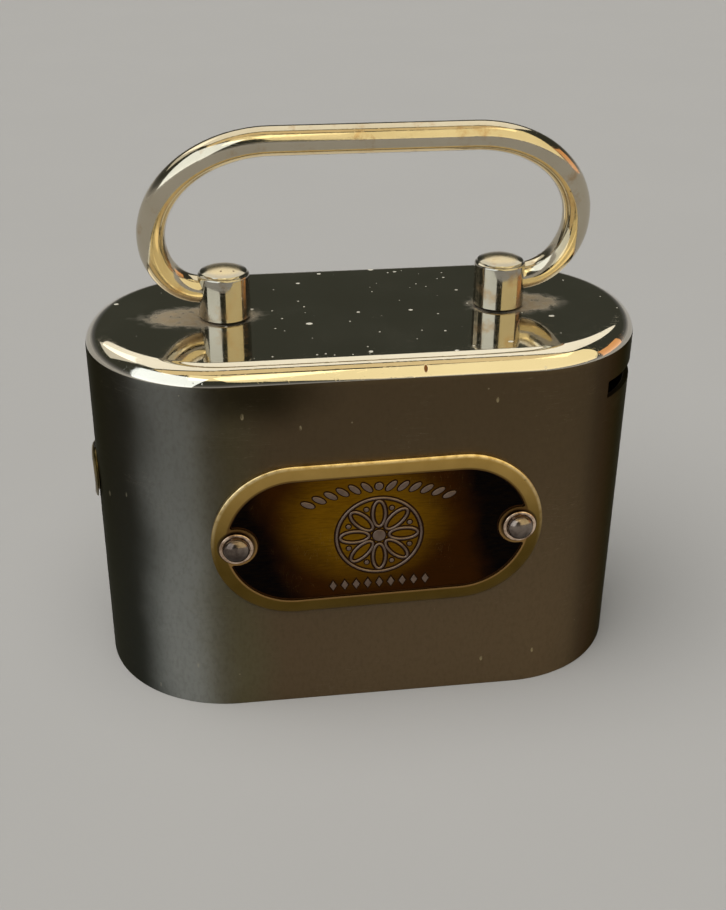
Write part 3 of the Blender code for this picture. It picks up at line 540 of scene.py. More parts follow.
def satin_wall(name):
    """The case's wall: dull plating brushed round the case, with painted light in tones that change along it.

    From the left end: painted shade, a silver painted highlight, olive where that highlight fades, and
    brown tarnish, then painted shade that is nearly black at the right end. Painted shade also darkens
    the wall towards the top and in a patch under the rim.
    """
    # The first two colours are painted light: painted shade at the left end and a painted highlight.
    dark, silver = (0.052, 0.054, 0.047), (0.228, 0.228, 0.208)
    olive, brown = (0.130, 0.118, 0.078), (0.132, 0.098, 0.067)
    s = Shader(name, brown, 0.5)
    cloud = s.noise(20 * MM, detail=5, seed=1)
    mottled = s.noise(0.7 * MM, detail=5, stretch=(1.0, 1.0, 1.8), seed=9)
    drift = s.times(s.math("SUBTRACT", cloud, 0.5), 8 * MM)
    along = s.math("ADD", s.axis(0), drift)
    # Painted light along the case: painted shade at the left end, a silver painted highlight, olive as it fades,
    # then brown tarnish.
    colour = s.blend(s.ramp(along, -45 * MM, -36.5 * MM), dark, silver)
    colour = s.blend(s.ramp(along, -35 * MM, -25 * MM), colour, olive)
    colour = s.blend(s.ramp(along, -26 * MM, -17 * MM), colour, brown)
    # Painted shade: the wall darker towards the top.
    height = s.ramp(s.axis(2), 4 * MM, POLISH_LOW_Z, 0.0, 0.50)
    colour = s.blend(height, colour, (0.040, 0.032, 0.022))
    # Painted shade: the wall nearly black towards the right end.
    colour = s.blend(s.ramp(s.axis(0), 36 * MM, 48 * MM, 0.0, 0.75), colour, (0.026, 0.028, 0.015))
    colour = s.blend(s.ramp(mottled, 0.40, 0.75, 0.0, 0.20), colour, (0.055, 0.044, 0.030))
    # A patch of painted shade on the wall under the rim.
    shade_patch = s.spot(SHADE_PATCH, SHADE_PATCH_HALF_SIZES)
    shade_patch = s.math("ADD", shade_patch, s.times(s.math("SUBTRACT", cloud, 0.5), 1.2))
    colour = s.blend(s.ramp(shade_patch, 0.2, 1.1, 0.85, 0.0), colour, (0.016, 0.013, 0.007))
    pits = s.specks(2.6 * MM, 0.20 * MM, 0.22, seed=4)
    nicks = s.specks(4.2 * MM, 0.40 * MM, 0.60, seed=6, stretch=(0.8, 0.8, 1.8))
    nicks = s.times(nicks, s.ramp(mottled, 0.40, 0.60, 0.15, 1.0))
    marks = s.math("MAXIMUM", s.times(pits, 0.6), nicks)
    line = scratches(s, 9 * MM, 0.45, (1.0, 1.0, 0.10))
    line = s.times(line, s.ramp(cloud, 0.48, 0.62))
    colour = s.blend(s.times(marks, 0.75), colour, (0.40, 0.36, 0.27))
    colour = s.blend(s.times(line, 0.30), colour, (0.26, 0.23, 0.17))
    grain = s.noise(0.30 * MM, detail=3, stretch=(9, 9, 0.6))
    rough = s.between(grain, 0.36, 0.50)
    rough = s.between(marks, rough, 0.62)
    normal = s.bump(grain, 0.005 * MM)
    normal = s.bump(s.noise(12 * MM, detail=2, seed=8), 0.04 * MM, below=normal)
    normal = s.bump(s.times(s.math("MAXIMUM", marks, line), -1.0), 0.010 * MM, below=normal)
    tangent = s.nodes.new("ShaderNodeTangent")
    tangent.direction_type = "RADIAL"
    tangent.axis = "Z"
    return s.finish(
        Base_Color=colour,
        Roughness=rough,
        Normal=normal,
        Anisotropic=0.95,
        Anisotropic_Rotation=0.25,
        Specular_Tint=(0.42, 0.42, 0.38),
        Tangent=tangent.outputs[0],
    )


def bright_nickel(name, dark, light, worn_top=None):
    """The handle and posts: nickel with a high polish, pits, tarnish and hairlines, dull above worn_top."""
    s = Shader(name, light, 0.09)
    cloud = s.noise(7 * MM, detail=6, seed=2)
    colour = s.blend(cloud, dark, light)
    tarnish = s.ramp(s.noise(5 * MM, detail=7, roughness=0.65, seed=11), 0.54, 0.72)
    if worn_top is not None:
        dull = s.ramp(s.axis(2), worn_top - 0.4 * MM, worn_top)
        dull = s.times(dull, s.ramp(cloud, 0.2, 0.6, 0.6, 1.0))
        colour = s.blend(dull, colour, (0.62, 0.53, 0.36))
    pits = s.specks(2.3 * MM, 0.26 * MM, 0.35, seed=5)
    blot = s.specks(8 * MM, 0.9 * MM, 0.35, seed=8)
    spots = s.math("MAXIMUM", pits, s.times(blot, 0.7))
    colour = s.blend(s.times(tarnish, 0.70), colour, (0.42, 0.27, 0.13))
    colour = s.blend(spots, colour, (0.16, 0.11, 0.06))
    rough = s.ramp(cloud, 0.3, 0.7, 0.05, 0.12)
    rough = s.between(tarnish, rough, 0.26)
    if worn_top is not None:
        rough = s.between(dull, rough, 0.26)
    rough = s.between(spots, rough, 0.45)
    normal = s.bump(s.noise(4 * MM, detail=2, seed=6), 0.012 * MM)
    normal = s.bump(s.times(spots, -1.0), 0.03 * MM, below=normal)
    normal = s.bump(scratches(s, 3 * MM, 0.8, (1, 1, 0.2)), 0.0015 * MM, below=normal)
    return s.finish(Base_Color=colour, Roughness=rough, Normal=normal)


def brass_border(name):
    """The plate's border: olive brass with painted light, brown on the rivet pads.

    The upper half is lighter as a painted highlight and the lower half darker as painted shade. A painted
    highlight runs along the upper outer edge, and the inner edge has a painted lit line below and a
    painted shadow above.
    """
    highlight_brass, copper = (0.84, 0.66, 0.36), (0.40, 0.23, 0.085)
    step_shadow, brown = (0.085, 0.038, 0.014), (0.055, 0.036, 0.018)
    s = Shader(name, copper, 0.3)
    cloud = s.noise(5 * MM, detail=6)
    # Painted light: the upper half lighter as a painted highlight, the lower half darker as painted shade.
    upper = s.blend(cloud, (0.370, 0.230, 0.055), (0.590, 0.385, 0.120))
    lower = s.blend(cloud, (0.085, 0.050, 0.006), (0.150, 0.095, 0.020))
    height = s.ramp(s.axis(2), PLATE_Z - 6 * MM, PLATE_Z + PLATE_HALF_HEIGHT)
    colour = s.blend(height, lower, upper)
    inset = s.plate_inset()
    # Painted highlight along the outer edge of the upper half, in the brightest brass colour.
    edge_highlight = s.ramp(inset, 0.25 * MM, 0.75 * MM, 1.0, 0.0)
    lip = s.ramp(inset, PLATE_BORDER - 0.45 * MM, PLATE_BORDER - 0.15 * MM)
    uneven = s.ramp(s.noise(1.3 * MM, detail=5), 0.30, 0.62, 0.35, 1.0)
    edge_highlight = s.times(edge_highlight, height, uneven)
    colour = s.blend(edge_highlight, colour, highlight_brass)
    # Painted light on the inner edge: a lit copper line below, a painted shadow above.
    lip_colour = s.blend(s.ramp(height, 0.0, 0.5), copper, step_shadow)
    colour = s.blend(s.times(lip, 0.75), colour, lip_colour)
    pad = 0.0
    for side in (-1, 1):
        place = plate_frame(PLATE_FACE_Y, side * RIVET_X).translation
        distance = s.spot(tuple(place), (PLATE_PAD_RADIUS, 10 * MM, PLATE_PAD_RADIUS))
        pad = s.math("MAXIMUM", pad, s.ramp(distance, 0.86, 0.95, 1.0, 0.0))
    colour = s.blend(s.times(pad, 0.8), colour, brown)
    pits = s.specks(1.7 * MM, 0.16 * MM, 0.30, seed=4)
    colour = s.blend(s.times(pits, 0.8), colour, (0.06, 0.04, 0.015))
    grain = s.noise(0.22 * MM, detail=4, stretch=(5, 1, 0.8))
    rough = s.between(grain, 0.26, 0.42)
    normal = s.bump(grain, 0.008 * MM)
    normal = s.bump(s.times(pits, -1.0), 0.02 * MM, below=normal)
    return s.finish(Base_Color=colour, Roughness=rough, Normal=normal)


def lacquered_field(name):
    """The sunk field: gold-brown lacquer over brass, reddish further out, burnt at the rivets."""
    reddish, black = (0.046, 0.014, 0.0018), (0.0025, 0.0020, 0.0025)
    weave_dark, brass = (0.020, 0.010, 0.002), (0.34, 0.22, 0.08)
    s = Shader(name, reddish, 0.32)
    cloud = s.noise(9 * MM, detail=5, seed=2)
    ragged = s.times(s.math("SUBTRACT", cloud, 0.5), 0.55)
    gold = s.blend(cloud, (0.150, 0.060, 0.0015), (0.290, 0.150, 0.006))
    distance = s.spot((-3 * MM, FIELD_Y, PLATE_Z + 3 * MM), (18 * MM, 20 * MM, 15 * MM))
    outer = s.ramp(s.math("ADD", distance, ragged), 0.40, 1.0)
    colour = s.blend(outer, gold, reddish)
    rise = s.math("SUBTRACT", s.axis(2), PLATE_Z)
    drift = s.times(s.math("SUBTRACT", cloud, 0.5), 9 * MM)
    burnt = 0.0
    for edge, slope in BURNS:
        beyond = s.times(s.math("ADD", s.axis(0), drift), math.copysign(1.0, edge))
        beyond = s.math("ADD", beyond, s.times(rise, -slope if edge < 0 else slope))
        burn = s.ramp(beyond, abs(edge) - BURN_FADE, abs(edge) + BURN_FADE)
        burnt = s.math("MAXIMUM", burnt, burn)
    colour = s.blend(burnt, colour, black)
    weave = s.noise(0.25 * MM, detail=3, stretch=(7, 1, 0.7))
    colour = s.blend(s.ramp(weave, 0.35, 0.75, 0.0, 0.35), colour, weave_dark)
    line = scratches(s, 3.5 * MM, 0.55, (0.25, 1, 1))
    chips = s.specks(3.4 * MM, 0.22 * MM, 0.30, seed=3, stretch=(0.6, 1, 1.8))
    line = s.times(line, s.ramp(cloud, 0.52, 0.62))
    bare = s.math("MAXIMUM", line, s.times(chips, 0.5))
    bare = s.times(bare, s.math("SUBTRACT", 1.0, burnt))
    colour = s.blend(s.times(bare, 0.30), colour, brass)
    rough = s.between(weave, 0.26, 0.38)
    normal = s.bump(weave, 0.006 * MM)
    normal = s.bump(s.times(bare, -1.0), 0.008 * MM, below=normal)
    return s.finish(Base_Color=colour, Roughness=rough, Normal=normal)


def raised_line(name):
    """The tops of the embossed lines, worn to a dull pinkish silver."""
    s = Shader(name, (0.3, 0.23, 0.2), 0.4)
    cloud = s.noise(1.2 * MM, detail=5)
    colour = s.blend(cloud, (0.110, 0.072, 0.052), (0.260, 0.195, 0.160))
    normal = s.bump(s.noise(0.3 * MM), 0.01 * MM)
    return s.finish(Base_Color=colour, Roughness=s.between(cloud, 0.34, 0.5), Normal=normal)


def line_shadow(name):
    """Dark lacquer and painted shadow that outline each embossed line, and the painted shadow along the field's
    edge.
    """
    s = Shader(name, (0.02, 0.01, 0.005), 0.5)
    cloud = s.noise(0.9 * MM, detail=5)
    colour = s.blend(cloud, (0.014, 0.006, 0.003), (0.045, 0.020, 0.007))
    return s.finish(Base_Color=colour, Normal=s.bump(cloud, 0.01 * MM))


def tarnished(name, light, dark, rough, size, seed=0.0, shade_below_z=None):
    """A plain metal with mottled tarnish from light to dark, small dark pits, and painted shade below the height
    in its last argument, when given.
    """
    s = Shader(name, light, rough)
    cloud = s.noise(size, detail=6, roughness=0.6, seed=seed)
    colour = s.blend(s.ramp(cloud, 0.35, 0.68), light, dark)
    pits = s.specks(size * 0.6, size * 0.08, 0.4, seed=seed + 1)
    dirt_and_shade = tuple(c * 0.35 for c in dark)
    colour = s.blend(s.times(pits, 0.7), colour, dirt_and_shade)
    # Painted shade: darker below the given height, on the lower half of a rivet's dome.
    if shade_below_z is not None:
        colour = s.blend(s.ramp(s.axis(2), shade_below_z - 1.6 * MM, shade_below_z + 0.6 * MM, 0.8, 0.0), colour, dirt_and_shade)
    grain = s.noise(size * 0.12, detail=3, stretch=(4, 4, 1), seed=seed)
    spread = s.between(grain, rough * 0.8, min(1.0, rough * 1.35))
    normal = s.bump(grain, 0.012 * MM)
    normal = s.bump(s.times(pits, -1.0), 0.02 * MM, below=normal)
    return s.finish(Base_Color=colour, Roughness=spread, Normal=normal)


def floor_material():
    """A plain pale studio floor with the faintest tooth and no gloss."""
    s = Shader("studio_floor", (0.42, 0.415, 0.405), 0.7, metallic=0.0)
    cloud = s.noise(60 * MM, detail=3)
    colour = s.blend(cloud, (0.415, 0.410, 0.400), (0.430, 0.425, 0.415))
    normal = s.bump(s.noise(0.8 * MM), 0.01 * MM)
    return s.finish(Base_Color=colour, Specular_IOR_Level=0.0, Normal=normal)


TOP_MIRROR = polished_top("case_top_nickel")
WALL_SATIN = satin_wall("case_wall_nickel")
INSIDE_DULL = tarnished("case_inside", (0.16, 0.135, 0.10), (0.07, 0.055, 0.04), 0.48, 9 * MM)
NICKEL = bright_nickel("bright_nickel", (0.48, 0.42, 0.31), (0.62, 0.565, 0.45))
POST_NICKEL = bright_nickel("post_nickel", (0.38, 0.35, 0.29), (0.50, 0.47, 0.40), POST_TOP_Z - 0.35 * MM)
BORDER_BRASS = brass_border("plate_border_brass")
FIELD_LACQUER = lacquered_field("plate_field_lacquer")
LINE_SILVER = raised_line("plate_raised_lines")
LINE_DARK = line_shadow("plate_line_shadow")
# The rivets' domes get painted shade on their lower halves.
RIVET_STEEL = tarnished(
    "rivet_steel", (0.27, 0.22, 0.185), (0.10, 0.075, 0.062), 0.18, 2.2 * MM, 3, PLATE_Z
)
RING_COPPER = tarnished("ring_copper", (0.84, 0.64, 0.49), (0.26, 0.165, 0.105), 0.20, 1.6 * MM, seed=5)
EYELET_BRASS = tarnished("eyelet_brass", (0.24, 0.185, 0.080), (0.090, 0.068, 0.028), 0.32, 3 * MM, seed=7)
LOCK_BRASS = tarnished("lock_brass", (0.62, 0.46, 0.20), (0.36, 0.25, 0.10), 0.30, 3 * MM, seed=8)
BASE_STEEL = tarnished("base_steel", (0.52, 0.49, 0.44), (0.30, 0.26, 0.21), 0.30, 11 * MM, seed=9)
INNER_STEEL = tarnished("inner_steel", (0.50, 0.50, 0.49), (0.30, 0.29, 0.27), 0.38, 4 * MM, seed=10)
SPRING_STEEL = tarnished("spring_steel", (0.24, 0.25, 0.29), (0.12, 0.12, 0.14), 0.28, 1.5 * MM, seed=11)


def painted(obj, *materials):
    obj.data.materials.clear()
    for material in materials:
        obj.data.materials.append(material)
    return obj


# ---------------------------------------------------------------- case


def outline_stations():
    """Points round the case as (centre x, direction x, direction y), from the -Y side's right end."""
    slot_angle = math.degrees(math.asin(SLOT_HALF_WIDTH / END_RADIUS))
    right = sorted({-90 + 180 * i / END_STEPS for i in range(END_STEPS + 1)} | {-slot_angle, slot_angle})
    left = [90 + 180 * i / END_STEPS for i in range(END_STEPS + 1)]
    stations = [(END_CENTRE, math.cos(math.radians(a)), math.sin(math.radians(a))) for a in right]
    for i in range(1, SIDE_STEPS):
        stations.append((END_CENTRE * (1 - 2 * i / SIDE_STEPS), 0.0, 1.0))
    stations += [(-END_CENTRE, math.cos(math.radians(a)), math.sin(math.radians(a))) for a in left]
    for i in range(1, SIDE_STEPS):
        stations.append((-END_CENTRE * (1 - 2 * i / SIDE_STEPS), 0.0, -1.0))
    return stations


def case_profile():
    """(inset, height) points up the wall and over the rim."""
    wall = [(0.0, z) for z in (0.0, 20 * MM, 40 * MM, SLOT_LOW_Z, SLOT_HIGH_Z)]
    rim = arc(RIM_RADIUS, CASE_HEIGHT - RIM_RADIUS, RIM_RADIUS, 180, 90, RIM_STEPS)
    return wall + rim


def is_slot(first, second, low, high):
    """True for the wall patch that the coin slot leaves open."""
    at_end = min(first[0], second[0]) > 0 and min(first[1], second[1]) > 0.1
    across = abs(first[2] + second[2]) / 2 * END_RADIUS
    return at_end and across < SLOT_HALF_WIDTH and low >= SLOT_LOW_Z and high <= SLOT_HIGH_Z


def make_case():
    stations = outline_stations()
    profile = case_profile()
    rows = len(profile)
    verts = []
    for centre, dx, dy in stations:
        for inset, z in profile:
            reach = END_RADIUS - inset
            verts.append((centre + reach * dx, MID_Y + reach * dy, z))
    faces = []
    count = len(stations)
    for i in range(count):
        j = (i + 1) % count
        for k in range(rows - 1):
            if is_slot(stations[i], stations[j], profile[k][1], profile[k + 1][1]):
                continue
            faces.append((i * rows + k, j * rows + k, j * rows + k + 1, i * rows + k + 1))
    faces.append(tuple(i * rows + rows - 1 for i in range(count)))
    case = mesh_object("case_skin", verts, faces)
    wall = case.modifiers.new("Wall", "SOLIDIFY")
    wall.thickness = WALL
    wall.offset = -1
    wall.use_even_offset = True
    round_edges(case, EDGE_ROUND, 2, 60)
    end = Vector((-CASE_HALF_LENGTH, MID_Y, NOTE_Z))
    holes = [cylinder("note_hole", NOTE_TUBE + GAP, end - Vector((CUT, 0, 0)), end + Vector((CUT, 0, 0)))]
    for side in (-1, 1):
        x = side * POST_X
        below, above = (x, MID_Y, CASE_HEIGHT - CUT), (x, MID_Y, CASE_HEIGHT + CUT)
        holes.append(cylinder("stud_hole", STUD_HOLE, below, above))
        place = plate_frame(MID_Y - END_RADIUS, side * RIVET_X).translation
        reach = Vector((0, CUT, 0))
        holes.append(cylinder("rivet_hole", RIVET_HOLE, place - reach, place + reach))
    case = bored(case, holes)
    painted(case, WALL_SATIN, TOP_MIRROR, INSIDE_DULL)
    for polygon in case.data.polygons:
        polygon.material_index = case_zone(polygon.center)
    smooth(case)
    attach(case, "case")
    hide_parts("body_shell")


def case_zone(point):
    """0 on the wall, 1 on the rim and top, 2 inside."""
    along = max(-END_CENTRE, min(END_CENTRE, point.x))
    depth = END_RADIUS - math.hypot(point.x - along, point.y - MID_Y)
    if point.z > POLISH_LOW_Z:
        rim = math.hypot(max(0.0, RIM_RADIUS - depth), point.z - CASE_HEIGHT + RIM_RADIUS)
        return 1 if rim > RIM_RADIUS - WALL / 2 or point.z > CASE_HEIGHT - WALL / 2 else 2
    return 2 if depth > WALL * 0.6 else 0


# ---------------------------------------------------------------- posts and handle


def make_post(side, x):
    """A turned post with a domed top, its stud, and the blind hole that the handle's end turns in."""
    height = POST_TOP_Z - CASE_HEIGHT
    dome = [(0.0, height)]
    for share in (0.25, 0.5, 0.7, 0.85, 0.94):
        r = share * (POST_RADIUS - POST_CORNER * 0.4)
        dome.append((r, height - POST_CROWN * (r / POST_RADIUS) ** 2))
    corner_z = height - POST_CROWN - POST_CORNER
    dome += arc(POST_RADIUS - POST_CORNER, corner_z, POST_CORNER, 62, 0, 6)
    foot = [(POST_RADIUS, GAP + POST_CHAMFER), (POST_RADIUS - POST_CHAMFER, GAP)]
    low = POST_LOW_Z - CASE_HEIGHT
    stud = [(STUD_RADIUS, GAP), (STUD_RADIUS, low), (0.0, low)]
    post = turned(f"{side}_post_turned", list(reversed(dome + foot + stud)))
    post.location = (x, MID_Y, CASE_HEIGHT)
    outward = math.copysign(1, x)
    start = (outward * (BAIL_END_X - 0.4 * MM), MID_Y, BAIL_AXIS_Z)
    end = (outward * BAIL_HALF_WIDTH, MID_Y, BAIL_AXIS_Z)
    post = bored(post, [cylinder("bail_hole", POST_HOLE, start, end)])
    painted(post, POST_NICKEL)
    smooth(post, 28)
    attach(post, "case")
    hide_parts(f"{side}_post")


def bail_half():
    """The handle's centre line from its pivot end to the top's middle, in its own plane, +X side."""
    lower_run = BAIL_HALF_WIDTH - BAIL_BEND_X
    upper_rise = BAIL_RISE - BAIL_LOWER_RISE
    points = [(BAIL_END_X, 0.0)]
    for i in range(BAIL_BEND_STEPS + 1):
        a = math.pi / 2 * i / BAIL_BEND_STEPS
        points.append((BAIL_BEND_X + lower_run * math.sin(a), BAIL_LOWER_RISE * (1 - math.cos(a))))
    for i in range(1, BAIL_BEND_STEPS + 1):
        a = math.pi / 2 * i / BAIL_BEND_STEPS
        x = BAIL_HALF_WIDTH - BAIL_UPPER_RUN * (1 - math.cos(a))
        points.append((x, BAIL_LOWER_RISE + upper_rise * math.sin(a)))
    return points


def make_handle():
    half = bail_half()
    flat = half + [(-x, z) for x, z in reversed(half)]
    path = [(x, -z * math.sin(BAIL_LEAN), z * math.cos(BAIL_LEAN)) for x, z in flat]
    placed = [(x, y + MID_Y, z + BAIL_AXIS_Z) for x, y, z in path]
    handle = tube("handle_rod", placed, BAIL_RADIUS, sides=40)
    painted(handle, NICKEL)
    smooth(handle, 50)
    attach(handle, "handle")
    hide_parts("handle_bail")


# ---------------------------------------------------------------- plate


def stadium(half_length, half_height, steps=40):
    centre = half_length - half_height
    return arc(centre, 0, half_height, -90, 90, steps) + arc(-centre, 0, half_height, 90, 270, steps)


def field_outline(grow=0.0):
    """The sunk field's edge: the inner stadium, bitten into at each end by a rivet's round pad."""
    half_height = PLATE_HALF_HEIGHT - PLATE_BORDER + grow
    pad = PLATE_PAD_RADIUS - grow
    centre = PLATE_HALF_LENGTH - PLATE_HALF_HEIGHT
    # The round that joins the stadium's end to the pad has its centre at (centre + along, across).
    reach = half_height - PAD_FILLET
    out = pad + PAD_FILLET
    gap = RIVET_X - centre
    along = (reach**2 - out**2 + gap**2) / (2 * gap)
    across = math.sqrt(reach**2 - along**2)
    stadium_angle = math.degrees(math.atan2(across, along))
    pad_angle = math.degrees(math.atan2(across, along - gap))
    upper = arc(centre, 0, half_height, 90, stadium_angle, 24)
    upper += arc(centre + along, across, PAD_FILLET, stadium_angle, pad_angle - 180, 8)[1:]
    upper += arc(RIVET_X, 0, pad, pad_angle, 180, 16)[1:]
    right = upper + [(x, -y) for x, y in reversed(upper[:-1])]
    return right + [(-x, -y) for x, y in right]


def plate_blank():
    """The plate's body, drawn flat: a stadium whose border falls to its edge in a quarter ellipse."""
    thick = PLATE_BACK_Y - PLATE_FACE_Y
    profile = [(0.0, 0.0)]
    for i in range(CROWN_STEPS + 1):
        a = math.pi / 2 * (i / CROWN_STEPS) ** 1.5
        profile.append((PLATE_BORDER * (1 - math.cos(a)), thick - PLATE_CROWN * (1 - math.sin(a))))
    verts = []
    for inset, z in profile:
        verts += [(x, y, z) for x, y in stadium(PLATE_HALF_LENGTH - inset, PLATE_HALF_HEIGHT - inset, 56)]
    count = len(verts) // len(profile)
    faces = [tuple(reversed(range(count))), tuple(range(len(verts) - count, len(verts)))]
    for start in range(0, len(verts) - count, count):
        for i in range(count):
            j = (i + 1) % count
            faces.append((start + i, start + j, start + count + j, start + count + i))
    return mesh_object("plate_border", verts, faces)


def on_case(obj, material, node):
    """Finishes a piece that is fixed to the case and stands for a CAD node."""
    painted(obj, material)
    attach(obj, "case")
    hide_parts(node)


def make_plate():
    thick = PLATE_BACK_Y - PLATE_FACE_Y
    border = plate_blank()
    cutters = [baked(flat_outline("field_cutter", [field_outline()], 4 * thick))]
    for side in (-1, 1):
        x = side * RIVET_X
        cutters.append(cylinder("rivet_cutter", RIVET_HOLE, (x, 0, -thick), (x, 0, 2 * thick)))
    border = bored(border, cutters)
    round_edges(border, PLATE_EDGE, 3, 50)
    border = moved(baked(border), plate_frame(PLATE_BACK_Y))
    smooth(border, 45)
    on_case(border, BORDER_BRASS, "name_plate")
    sheet = thick - FIELD_SINK
    field = flat_outline("plate_field", [field_outline(FIELD_OVERLAP)], sheet)
    field = smooth(moved(baked(field), plate_frame(FIELD_Y + sheet / 2)))
    on_case(field, FIELD_LACQUER, "name_plate")
    # A dark line along the field's edge: the painted shadow of the border's step.
    shadow_line_path = [(x, y, 0.0) for x, y in field_outline(-SHADOW_LINE_INSET)]
    line = tube("plate_field_line", shadow_line_path, SHADOW_LINE_RADIUS, sides=12, cyclic=True)
    smooth(moved(line, plate_frame(FIELD_Y)), 50)
    on_case(line, LINE_DARK, "name_plate")


def leaf(x, y, length, width, angle, steps=10):
    """A leaf's outline about its own middle."""
    loop = []
    for i in range(2 * steps):
        a = math.pi * i / steps
        loop.append((-length / 2 * math.cos(a), width / 2 * math.sin(a)))
    c, s = math.cos(angle), math.sin(angle)
    return [(x + a * c - b * s, y + a * s + b * c) for a, b in loop]


def ornament_lines():
    """Closed centre lines of the rosette: its ring and the outlines of its eight petals."""
    yield arc(0, 0, ROSETTE_RADIUS, 0, 355, 71)
    for i in range(PETALS):
        angle = 2 * math.pi * i / PETALS
        x, y = PETAL_PLACE * math.cos(angle), PETAL_PLACE * math.sin(angle)
        yield leaf(x, y, PETAL_LENGTH, PETAL_WIDTH, angle)


def ornament_solids():
    """Filled shapes: the boss and its beads, an arch of leaves above and a row of lozenges below."""
    yield arc(0, 0, BOSS_RADIUS, 0, 350, 35)
    for i in range(PETALS):
        angle = 2 * math.pi * (i + 0.5) / PETALS
        yield arc(BEAD_PLACE * math.cos(angle), BEAD_PLACE * math.sin(angle), BEAD_RADIUS, 0, 330, 11)
    for i in range(-ARCH_LEAVES, ARCH_LEAVES + 1):
        if i:
            turn = i * ARCH_STEP / ARCH_RADIUS
            x, y = ARCH_RADIUS * math.sin(turn), ARCH_RADIUS * (math.cos(turn) - 1) + ARCH_RISE
            yield leaf(x, y, LEAF_LENGTH, LEAF_WIDTH, -turn + math.copysign(LEAF_SLANT, i))
    yield arc(0, ARCH_RISE, ARCH_BEAD_RADIUS, 0, 345, 23)
    for i in range(-ROW_LOZENGES, ROW_LOZENGES + 1):
        yield leaf(i * ROW_STEP, -ROW_DROP, LOZENGE_LENGTH, LOZENGE_WIDTH, math.pi / 2, steps=2)


def relief(name, line_width, height, material, grow=0.0):
    """The ornament as raised lines and shapes on the field, in one low rounded piece."""
    made = []
    for loop in ornament_lines():
        path = [(x, y, 0.0) for x, y in loop]
        wire = tube("ornament_wire", path, line_width / 2, sides=12, cyclic=True)
        made.append(moved(wire, Matrix.Diagonal((1, 1, 2 * height / line_width, 1))))
    edge = min(height * 0.6, 0.1 * MM)
    shapes = flat_outline("ornament_shapes", list(ornament_solids()), 2 * height, edge)
    shapes.data.offset = grow - edge
    made.append(baked(shapes))
    piece = smooth(moved(joined(name, made), plate_frame(FIELD_Y)), 50)
    on_case(piece, material, "name_plate")


def make_ornament():
    # A flat dark sheet under the raised lines: dark lacquer and painted shadow.
    relief("plate_relief_shadow", SHADOW_WIDTH, SHADOW_HEIGHT, LINE_DARK, grow=SHADOW_GROW)
    relief("plate_relief", LINE_WIDTH, LINE_HEIGHT, LINE_SILVER)


def make_rivet(side, along):
    """A domed rivet and the round-edged ring under its head."""
    node = f"{side}_plate_rivet"
    low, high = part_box(node)
    seat = low.y + RIVET_HEAD
    turns = [math.pi / 2 * i / 12 for i in range(13)]
    dome = [(RIVET_RADIUS * math.cos(a), RIVET_HEAD * math.sin(a)) for a in turns]
    tail = seat - high.y
    burr = tail + RIVET_TAIL_HEIGHT
    closed_end, collar = RIVET_TAIL_RADII
    shank = [(0.0, tail), (closed_end, tail), (collar, burr), (RIVET_SHANK, burr), (RIVET_SHANK, 0.0)]
    rivet = turned(f"{side}_rivet_turned", shank + dome, 48)
    smooth(moved(rivet, plate_frame(seat, along)), 50)
    on_case(rivet, RIVET_STEEL, node)
    ring_low, ring_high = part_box(f"{side}_rivet_ring")
    thick = ring_high.y - ring_low.y
    round_edge = arc(RING_RADIUS - thick / 2, thick / 2, thick / 2, -90, 90, 8)
    inner_edge = arc(RIVET_RADIUS + 0.2 * MM, thick / 2, thick / 2, 90, 150, 4)
    profile = round_edge + inner_edge + [(RIVET_HOLE, thick * 0.6), (RIVET_HOLE, 0.0)]
    ring = turned(f"{side}_ring_turned", profile, 64, closed=True)
    smooth(moved(ring, plate_frame(ring_high.y, along)), 50)
    on_case(ring, RING_COPPER, f"{side}_rivet_ring")


# ---------------------------------------------------------------- note hole


def make_eyelet():
    """A rolled brass eyelet: a turned profile, its flange bent to lie on the case's round end."""
    bore = [(NOTE_BORE, 0.0), (NOTE_BORE, -NOTE_TUBE_END)]
    tube_side = [(NOTE_TUBE, -NOTE_TUBE_END), (NOTE_TUBE, 0.0)]
    eyelet = turned("note_eyelet_rolled", [*NOTE_ROLL, *bore, *tube_side], 72, closed=True)
    seat = END_RADIUS + GAP
    for vert in eyelet.data.vertices:
        across, up, out = vert.co
        vert.co = (-END_CENTRE - math.sqrt(seat**2 - across**2) - out, MID_Y + across, NOTE_Z + up)
    eyelet.data.flip_normals()
    painted(eyelet, EYELET_BRASS)
    smooth(eyelet, 40)
    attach(eyelet, "case")
    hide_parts("note_eyelet")


# ---------------------------------------------------------------- CAD nodes that stay


def paint_cad_nodes():
    """The hidden pieces keep their CAD meshes and get their metals."""
    metals = {
        "inner_steel": INNER_STEEL,
        "spring_steel": SPRING_STEEL,
        "base_steel": BASE_STEEL,
        "lock_brass": LOCK_BRASS,
        "ring_copper": RING_COPPER,
    }
    slots = {part["node"]: part["material_slot"] for part in frame["record"]["subparts"]}
    for name, obj in frame["nodes"].items():
        if slots[name] in metals and not obj.hide_render:
            painted(obj, metals[slots[name]])


# ---------------------------------------------------------------- stage

FLOOR_REACH = 40.0
FLOOR_STEPS = 96
FLOOR_SINK = 0.02 * MM
SOFTBOX_DISTANCE = 1.6
# The room's colour by the sine of the height that it is seen at.
ROOM_LEVELS = ((0.0, (0.41, 0.40, 0.385)), (0.14, (0.12, 0.12, 0.115)), (0.28, (0.050, 0.052, 0.040)))
FILL_STRENGTH = 3.3
FILL_SPREAD = math.radians(70)
CAMERA_SENSOR = 36
CAMERA_LENS = 51.4
CAMERA_PLACE = Vector((-31.95 * MM, -218.33 * MM + MID_Y, 157.09 * MM))
CAMERA_TURNS = (math.radians(-8.38), math.radians(-28.26), math.radians(0.545))


